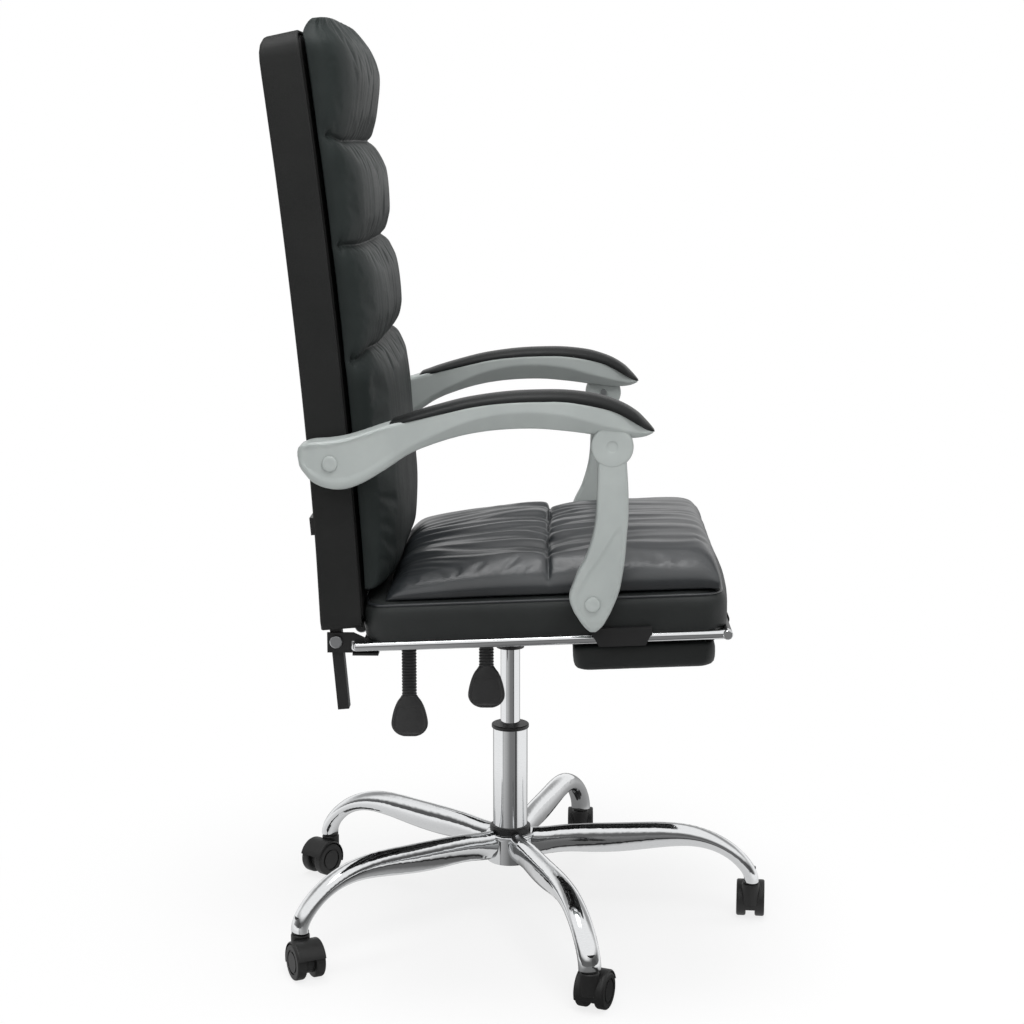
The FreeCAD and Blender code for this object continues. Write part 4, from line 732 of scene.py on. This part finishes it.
# Corner radii as shares of its height, and the rim and depth of its sunk outer face
arm_radii = (0.07, 0.07, 0.05, 0.10, 0.10, 0.05)
arm_rim, arm_sink = 3, 2.0


def arm_ring(y, side, count=72):
    """Section of an armrest."""
    low, high, crease, width = (table(arm_rows, y, column) for column in (1, 2, 3, 4))
    half, tall = width * arm_half, high - low
    inset = arm_foot_inset * min(1, crease / 0.5) * width
    waist = low + crease * tall
    corners = [Vector((half, 0, high)), Vector((-half, 0, high)), Vector((-half, 0, waist)),
               Vector((-half + inset, 0, low)), Vector((half - inset, 0, low)), Vector((half, 0, waist))]
    outline = resampled(round_corners(corners, [share * tall for share in arm_radii]), count)
    paddle = smooth_step(120, 175, y) * (1 - smooth_step(250, 262, y))
    points = []
    for p in outline:
        x = p.x
        edge = min(p.z - waist - arm_rim, high - p.z - arm_rim)
        if x < 0 and edge > 0:
            x += arm_sink * smooth_step(1.5, 4.0, edge) * paddle
        points.append(Vector((side * (arm_middle - x) * mm, y * mm, p.z * mm)))
    return points


# Places of its sections from the rear to the front, closer at both ends
arm_places = ([264 - 0.4 * k for k in range(6)] + [261 - 1.6 * k for k in range(1, 8)]
              + [249 - 3.4 * k for k in range(128)] + [-185, -186.5, -187.7, -188.5])

# Strut: place of its rear and front edge and share of its thickness by height
strut_rows = (
    (499.5, -110, -118, 0.50), (502.5, -106.3, -121.5, 0.66), (508, -101.3, -126.5, 0.85),
    (514, -97, -130, 1.0), (520, -93.3, -133.3, 1.0), (526, -89.5, -136.5, 1.0), (532, -86.8, -139, 1.0),
    (540, -83.8, -142.3, 1.0), (549, -83.0, -145.6, 1.0), (560, -86.5, -148.6, 1.0), (580, -94, -152, 1.0),
    (600, -104, -154.5, 1.0), (630, -113, -156.5, 1.0), (655, -116.5, -158, 1.0), (690, -117.6, -157.5, 1.0),
    (720, -118.3, -155.5, 1.0), (738, -119, -154, 1.0),
)
# Width of the rim behind its sunk panel by height, and width of the one ahead of it
rim_rows = ((500, 6), (520, 6.5), (540, 9), (560, 10.5), (580, 13.5), (600, 17.5), (620, 22), (642, 30))
front_rim, strut_sink = 5, 1.9
# It leans outward from its foot over its lower part
strut_foot, strut_bend, strut_middle, strut_lean, strut_half = 500, 196, 275, 16, 13


def strut_ring(z, side, count=64):
    """Section of a strut."""
    rear, front, thick = (table(strut_rows, z, column) for column in (1, 2, 3))
    middle = strut_middle + min(1, (z - strut_foot) / strut_bend) * strut_lean
    half = strut_half * thick
    radius = min(half, (rear - front) / 2) * 0.42
    outline = resampled(round_corners(rectangle(half, front, rear), [radius] * 4), count)
    panel = smooth_step(504, 512, z) * (1 - smooth_step(630, 645, z))
    rim = table(rim_rows, z)
    points = []
    for p in outline:
        x = p.x
        edge = min(rear - p.y - rim, p.y - front - front_rim)
        if x > 0 and edge > 0:
            x -= strut_sink * smooth_step(0, 2.4, edge) * panel
        points.append(Vector((side * (middle + x) * mm, p.y * mm, z * mm)))
    return points


# Heights of its sections, closer at the foot
strut_places = [499.5 + 0.8 * k for k in range(10)] + [508 + 2 * k for k in range(116)]

# Profiles and centres, in metres, of the strut's knuckle, its pivot's cap and the cap of the armrest's bolt
knuckle_profile = ((0, 20), (0, 25.6), (0.5, 26.6), (1.6, 27), (24.0, 27), (25.6, 26.4), (26.8, 24.8),
                   (27.0, 23.6), (27.0, 8.2), (26.7, 7.2), (26.0, 6.6), (25.6, 5.4), (25.6, 2))
knuckle = Vector((0.278, -0.1365, 0.745))
cap_profile = ((-1.5, 10), (0.2, 10), (1.1, 9.5), (1.6, 8.4), (1.6, 4), (1.2, 2))
strut_pivot = Vector((0.2915, -0.113, 0.538))
rear_cap_profile = ((-3, 10), (0.3, 10), (1.1, 9.4), (1.6, 8.2), (1.6, 4), (1.3, 2))
arm_pivot = Vector((0.3054, 0.222, 0.722))

for side, word in sides:
    outward, flip = (side, 0, 0), Vector((side, 1, 1))
    moulding = skin([arm_ring(y, side) for y in arm_places])
    finished("armrest_moulding_" + word, moulding, grey_plastic, "armrest_" + word,
             ["arm_frame_" + word], 40)
    rear_cap = turned(rear_cap_profile, arm_pivot * flip, outward)
    finished("armrest_cap_" + word, rear_cap, grey_plastic, "armrest_" + word, (), 40)
    strut = joined([skin([strut_ring(z, side) for z in strut_places]),
                    turned(knuckle_profile, knuckle * flip, outward),
                    turned(cap_profile, strut_pivot * flip, outward)])
    finished("strut_moulding_" + word, strut, grey_plastic, "strut_link_" + word,
             ["strut_" + word], 40)


# Arm pad: height of its top by place
pad_top_rows = sorted((
    (146, 773.5), (142, 777.5), (132, 781), (115, 787), (83, 796.5), (52, 804.5), (20, 810), (-11, 813.5),
    (-43, 815), (-75, 815), (-106, 812), (-125, 808), (-150, 799), (-169, 787.5), (-180, 777), (-187, 769),
    (-190, 765),
))
arm_pad_half, arm_pad_sunk = 27.5, 2.0


def arm_pad_ring(y, side, count=64):
    """Section of an arm pad."""
    low = table(arm_rows, max(-187, y), 2) - arm_pad_sunk
    high = table(pad_top_rows, y)
    end = min(smooth_step(-192, -165, y), 1 - smooth_step(118, 147, y) * 0.55)
    half = arm_pad_half * (0.40 + 0.60 * end)
    tall = max(1.0, high - low)
    points = []
    for i in range(count):
        a = pi * i / (count - 1)
        c, s = cos(a), sin(a)
        x = half * (abs(c) ** 0.42) * (1 if c > 0 else -1)
        arch = sqrt(max(0, 1 - (x / half) ** 2))
        z = low + tall * (0.58 * abs(s) ** 0.6 + 0.42 * arch ** 1.1)
        points.append(Vector((side * (arm_middle + x) * mm, y * mm, z * mm)))
    return points


arm_pad_places = [146, 145, 143.5] + [142 - 3 * k for k in range(110)] + [-188, -189, -190]
for side, word in sides:
    shape = skin([arm_pad_ring(y, side) for y in arm_pad_places])
    pad = finished("arm_pad_cover_" + word, shape, pad_leather, "armrest_" + word,
                   ["arm_pad_" + word])


# Shell of the back, with softened edges

# Depth of its rear face by height
shell_rear_rows = (
    (20, 17), (150, 12), (300, 10), (450, 11), (600, 14), (700, 17.5), (755, 19.5), (770, 19), (778, 17.8),
    (784, 15.5), (789, 12.5),
)
# Lower edge of its cover, half width, corner radii below and above, wall and lip
cover_low, shell_half, low_corner, high_corner, shell_wall, shell_lip = 17, 250, 12.5, 25, 5, 4


def shell_ring(inset, share, offset, count=220):
    """Ring of the shell at a share of the way from its rear face to its front edge, offset to the rear."""
    half = shell_half - inset
    radii = [min(radius, half * 0.9) for radius in (low_corner, low_corner, high_corner, high_corner)]
    corners = rectangle(half, cover_low + inset, shell_high - inset)
    points = []
    for p in resampled(round_corners(corners, radii, 10), count):
        rear, front = table(shell_rear_rows, p.y), shell_front(p.y)
        u = rear + (front - rear) * share + offset
        rise = (2.5 - 0.12 * (u + 31)) * smooth_step(735, 789, p.y)
        points.append(back_point(p.x, u, p.y + rise))
    return points


def shell_shape():
    """Mesh of the rear shell: a shallow tray with rounded edges, open to the front."""
    flat = [shell_half * (1 - step) * 0.96 + shell_lip for step in (0.02, 0.3, 0.6, 0.85)]
    rear_edge = ((4.0, 0.0), (2.4, 0.15), (1.2, 0.5), (0.4, 1.2), (0.0, 2.4), (0.0, 4))
    front_edge = ((0.0, 2.2), (0.3, 1.0), (1.0, 0.3), (2.0, 0), (3.6, 0.6), (shell_lip, 3))
    rings = [(inset, 0, 0) for inset in flat]
    rings += [(inset, 0, -ahead) for inset, ahead in rear_edge]
    rings += [(0, share, 0) for share in (0.1, 0.25, 0.4, 0.55, 0.7, 0.85, 0.94)]
    rings += [(inset, 1, behind) for inset, behind in front_edge]
    rings += [(inset, 0, -shell_wall) for inset in [shell_lip] + flat[::-1]]
    return skin([shell_ring(*ring) for ring in rings])


finished("back_shell_cover", shell_shape(), shell_leather, "back", ["back_shell"], 50)


# Lever handles

# Half width of a paddle along the chair by height above its foot
paddle_rows = (
    (0, 9), (0.6, 11), (1.7, 13.8), (4.1, 17.8), (7.8, 21.4), (12.7, 24.0), (17.5, 24.7), (22.4, 24.3),
    (29.7, 22.9), (37, 20.9), (44, 18.2), (49, 15.6), (53, 12.6), (57, 10.2),
)
handle_x, paddle_tall = -205, 57
# Half thickness of a paddle and its gain toward the neck, half width and thickness of the neck and its ribs
paddle_deep, paddle_gain, neck_half, neck_deep, rib_half, rib_deep = 4.6, 2.6, 9.0, 6.8, 1.0, 1.2
# Rim, top and depth of the sunk face
face_rim, face_top, face_sink = 3.2, 42, 1.1


def signed_power(value, power):
    """Power of a value's size that keeps its sign."""
    return abs(value) ** power * (1 if value > 0 else -1)


def handle_shape(middle_y, foot, top, ribs, count=72):
    """Mesh of a hanging handle: a flat paddle with a sunk face under a ribbed neck."""
    pitch = (top - foot - paddle_tall) / ribs
    heights = [0, 0.6, 1.2, 2.2] + [3.5 + 1.2 * k for k in range(45)]
    for k in range(ribs):
        heights += [paddle_tall + pitch * (k + share) for share in (0.10, 0.22, 0.34, 0.66, 0.78, 0.90)]
    heights.append(top - foot)
    rings = []
    for h in heights:
        if h <= paddle_tall:
            half = table(paddle_rows, h)
            deep = (paddle_deep + paddle_gain * smooth_step(38, paddle_tall, h)) * min(1, 0.55 + h / 6)
        else:
            crest = 1 - abs(((h - paddle_tall) / pitch) % 1 - 0.5) * 2
            half = neck_half + rib_half * smooth_step(0.25, 0.6, crest)
            deep = neck_deep + rib_deep * smooth_step(0.25, 0.6, crest)
        flat = 0.38 + 0.5 * smooth_step(40, paddle_tall, h)
        ring = []
        for i in range(count):
            a = 2 * pi * i / count
            x, y = deep * signed_power(cos(a), flat), half * signed_power(sin(a), 0.85)
            inner = min(half - abs(y) - face_rim, h - 4, face_top - h)
            if inner > 0:
                x -= face_sink * smooth_step(0, 1.6, inner) * (1 if cos(a) > 0 else -1)
            ring.append(Vector(((x + handle_x) * mm, (middle_y + y) * mm, (foot + h) * mm)))
        rings.append(ring)
    return skin(rings)


finished("height_lever_grip", handle_shape(27.0, 377.0, 463, 7), lever_plastic, "height_lever",
         ["height_lever_handle"], 40)
finished("recline_lever_grip", handle_shape(130.5, 336.5, 461, 16), lever_plastic, "recline_lever",
         ["recline_lever_handle"], 40)


# Ends of the footrest's rails

elbow_profile = ((0, 4.8), (0, 5.6), (0.6, 6.3), (2, 6.7), (11, 6.7), (12.5, 6.2), (12.5, 5.6))
tip_profile = ((0, 1), (0, 2), (9.6, 2), (10.4, 1.6), (10.7, 0.6))
rail_x, rail_z, elbow_y, tip_y = 254, -8.5, -291, 200.5
for side, word in sides:
    elbow = turned(elbow_profile, seat_point(side * rail_x, elbow_y, rail_z), (-side, 0, 0), 48)
    finished("rail_elbow_" + word, elbow, chrome, "footrest_slide", (), 40)
    tip = turned(tip_profile, seat_point(side * rail_x, tip_y, rail_z), (0, 0, 1), 32)
    finished("rail_tip_" + word, tip, chrome, "footrest_slide", (), 40)


# Camera, floor and lights

def look(direction):
    """Rotation that points a camera or lamp along a direction."""
    return Vector(direction).to_track_quat("-Z", "Y").to_euler()


camera_data = bpy.data.cameras.new("camera")
camera = bpy.data.objects.new("camera", camera_data)
scene.collection.objects.link(camera)
camera.location = (-2.905, -0.071, 1.125)
turn, drop = radians(1.352), radians(10.109)
camera.rotation_euler = look((cos(turn) * cos(drop), sin(turn) * cos(drop), -sin(drop)))
camera_data.sensor_width = 36
camera_data.lens = 73.05
scene.camera = camera


def separated(nodes, links, vector):
    """The three outputs X, Y and Z of a vector."""
    node = nodes.new("ShaderNodeSeparateXYZ")
    links.new(vector, node.inputs["Vector"])
    return node.outputs


def calculated(nodes, links, operation, first, second):
    """Result of an operation on two values."""
    node = add(nodes, "ShaderNodeMath", operation=operation)
    links.new(first, node.inputs[0])
    links.new(second, node.inputs[1])
    return node.outputs[0]


def lit(nodes, links, kind, color, strength=1.0):
    """Emission or background with a colour and a strength, each a value or an output."""
    node = nodes.new(kind)
    feed(links, node.inputs["Color"], color)
    feed(links, node.inputs["Strength"], strength)
    return node.outputs[0]


def mixed(nodes, links, share, first, second):
    """Mix of two shaders by the share of the second."""
    node = nodes.new("ShaderNodeMixShader")
    links.new(share, node.inputs["Fac"])
    links.new(first, node.inputs[1])
    links.new(second, node.inputs[2])
    return node.outputs[0]


def layered(nodes, links, share, under, over, blend_type="MIX"):
    """Colour with another one, a value or an output, laid over it by a share."""
    node = nodes.new("ShaderNodeMix")
    node.data_type = "RGBA"
    node.blend_type = blend_type
    links.new(share, node.inputs["Factor"])
    links.new(under, node.inputs["A"])
    feed(links, node.inputs["B"], over)
    return node.outputs["Result"]


white = (1, 1, 1, 1)
# What glossy surfaces see of the floor: grey by the angle in degrees from the chair's right past its front
floor_panels = (
    (0, 0.22), (22, 0.20), (33, 0.20), (37, 0.03), (43, 0.03), (48, 0.75), (58, 1.0), (128, 1.0), (150, 0.45),
    (165, 0.30), (195, 0.30), (210, 0.45), (232, 1.0), (304, 1.0), (309, 0.92), (313, 0.28), (316, 0.60),
    (340, 0.42), (360, 0.22),
)
# Distances in metres between which the floor turns white to the camera, and between which its panels reach
# their full brightness, each with the share that it starts from
white_start, white_end, white_share = 0.35, 0.85, 0.80
panel_start, panel_end, panel_share = 0.30, 0.80, 0.70
floor_reach = 40


def floor_material():
    """Floor that is white away from the object and keeps its soft shadow."""
    material, nodes, links, bsdf = shader("floor")
    bsdf.inputs["Base Color"].default_value = (0.80, 0.80, 0.80, 1)
    bsdf.inputs["Roughness"].default_value = 0.8
    bsdf.inputs["Specular IOR Level"].default_value = 0.0
    rays = nodes.new("ShaderNodeLightPath").outputs
    where = nodes.new("ShaderNodeTexCoord").outputs["Object"]
    length = add(nodes, "ShaderNodeVectorMath", operation="LENGTH")
    links.new(where, length.inputs[0])
    away = length.outputs["Value"]
    axes = separated(nodes, links, where)
    angle = calculated(nodes, links, "ARCTAN2", axes["Y"], axes["X"])
    panels = ramp(nodes, links, ranged(nodes, links, angle, 0, 1, -pi, pi),
                  grey((at / 360, value) for at, value in floor_panels))
    brightness = ranged(nodes, links, away, panel_share, 1, panel_start, panel_end)
    whiteness = ranged(nodes, links, away, white_share, 1, white_start, white_end, smooth=True)
    shown = mixed(nodes, links, calculated(nodes, links, "MULTIPLY", whiteness, rays["Is Camera Ray"]),
                  bsdf.outputs[0], lit(nodes, links, "ShaderNodeEmission", white))
    surface = mixed(nodes, links, rays["Is Glossy Ray"], shown,
                    lit(nodes, links, "ShaderNodeEmission", panels, brightness))
    links.new(surface, nodes["Material Output"].inputs["Surface"])
    return material


floor_mesh = bpy.data.meshes.new("floor")
floor_mesh.from_pydata(rectangle(floor_reach, -floor_reach, floor_reach), [], [(0, 1, 2, 3)])
floor = bpy.data.objects.new("floor", floor_mesh)
scene.collection.objects.link(floor)
floor_mesh.materials.append(floor_material())

# What glossy surfaces see of the studio: grey values from its open side to the wall behind the chair, a white
# ceiling and a darker band on that wall
ambient_strength = 0.42
side_stops = ((0.0, 0.14), (0.25, 0.08), (0.48, 0.16), (0.62, 0.60), (0.76, 1.0))
ceiling_start, ceiling_end = 0.24, 0.52
band_stops = ((0.62, 1.0), (0.75, 0.40), (0.84, 0.32), (0.93, 1.0))
wall_start, wall_end = 0, 0.4

world = bpy.data.worlds.new("world")
scene.world = world
world.use_nodes = True
nodes, links = world.node_tree.nodes, world.node_tree.links
nodes.clear()
rays = nodes.new("ShaderNodeLightPath").outputs
axes = separated(nodes, links, nodes.new("ShaderNodeTexCoord").outputs["Generated"])
around = ramp(nodes, links, ranged(nodes, links, axes["X"], 0, 1, -1, 1), grey(side_stops), "EASE")
ceiling = ranged(nodes, links, axes["Z"], 0, 1, ceiling_start, ceiling_end, smooth=True)
studio = layered(nodes, links, ceiling, around, white)
band = ramp(nodes, links, ranged(nodes, links, axes["Z"], 0, 1, -1, 1), grey(band_stops), "EASE")
wall = ranged(nodes, links, axes["X"], 0, 1, wall_start, wall_end, smooth=True)
studio = layered(nodes, links, wall, studio, band, "MULTIPLY")
mirror = lit(nodes, links, "ShaderNodeBackground", studio)
ambient = lit(nodes, links, "ShaderNodeBackground", white, ambient_strength)
backdrop = lit(nodes, links, "ShaderNodeBackground", white)
unseen = mixed(nodes, links, rays["Is Glossy Ray"], ambient, mirror)
surface = mixed(nodes, links, rays["Is Camera Ray"], unseen, backdrop)
links.new(surface, nodes.new("ShaderNodeOutputWorld").inputs["Surface"])


def area_light(name, location, target, size, power, mirrored=False):
    """Soft square lamp aimed at a point, which lights surfaces or is only mirrored in glossy ones."""
    data = bpy.data.lights.new(name, "AREA")
    data.shape = "RECTANGLE"
    data.size = data.size_y = size
    data.energy = power
    lamp = bpy.data.objects.new(name, data)
    scene.collection.objects.link(lamp)
    lamp.location = location
    lamp.rotation_euler = look(Vector(target) - Vector(location))
    lamp.visible_glossy = mirrored
    lamp.visible_diffuse = not mirrored


area_light("key_light", (-1.7, -0.5, 2.9), (0, 0.05, 0.7), 1.3, 40)
area_light("top_light", (0.1, 0.2, 3.3), (0, 0, 0.5), 1.6, 70)
area_light("fill_light", (-2.8, 0.2, 1.5), (0, 0, 0.6), 1.6, 24)
area_light("strip_light", (-0.62, 0.30, 3.0), (-0.62, 0.30, 0), 0.90, 16, True)

scene.view_settings.view_transform = "Standard"

bpy.context.view_layer.update()
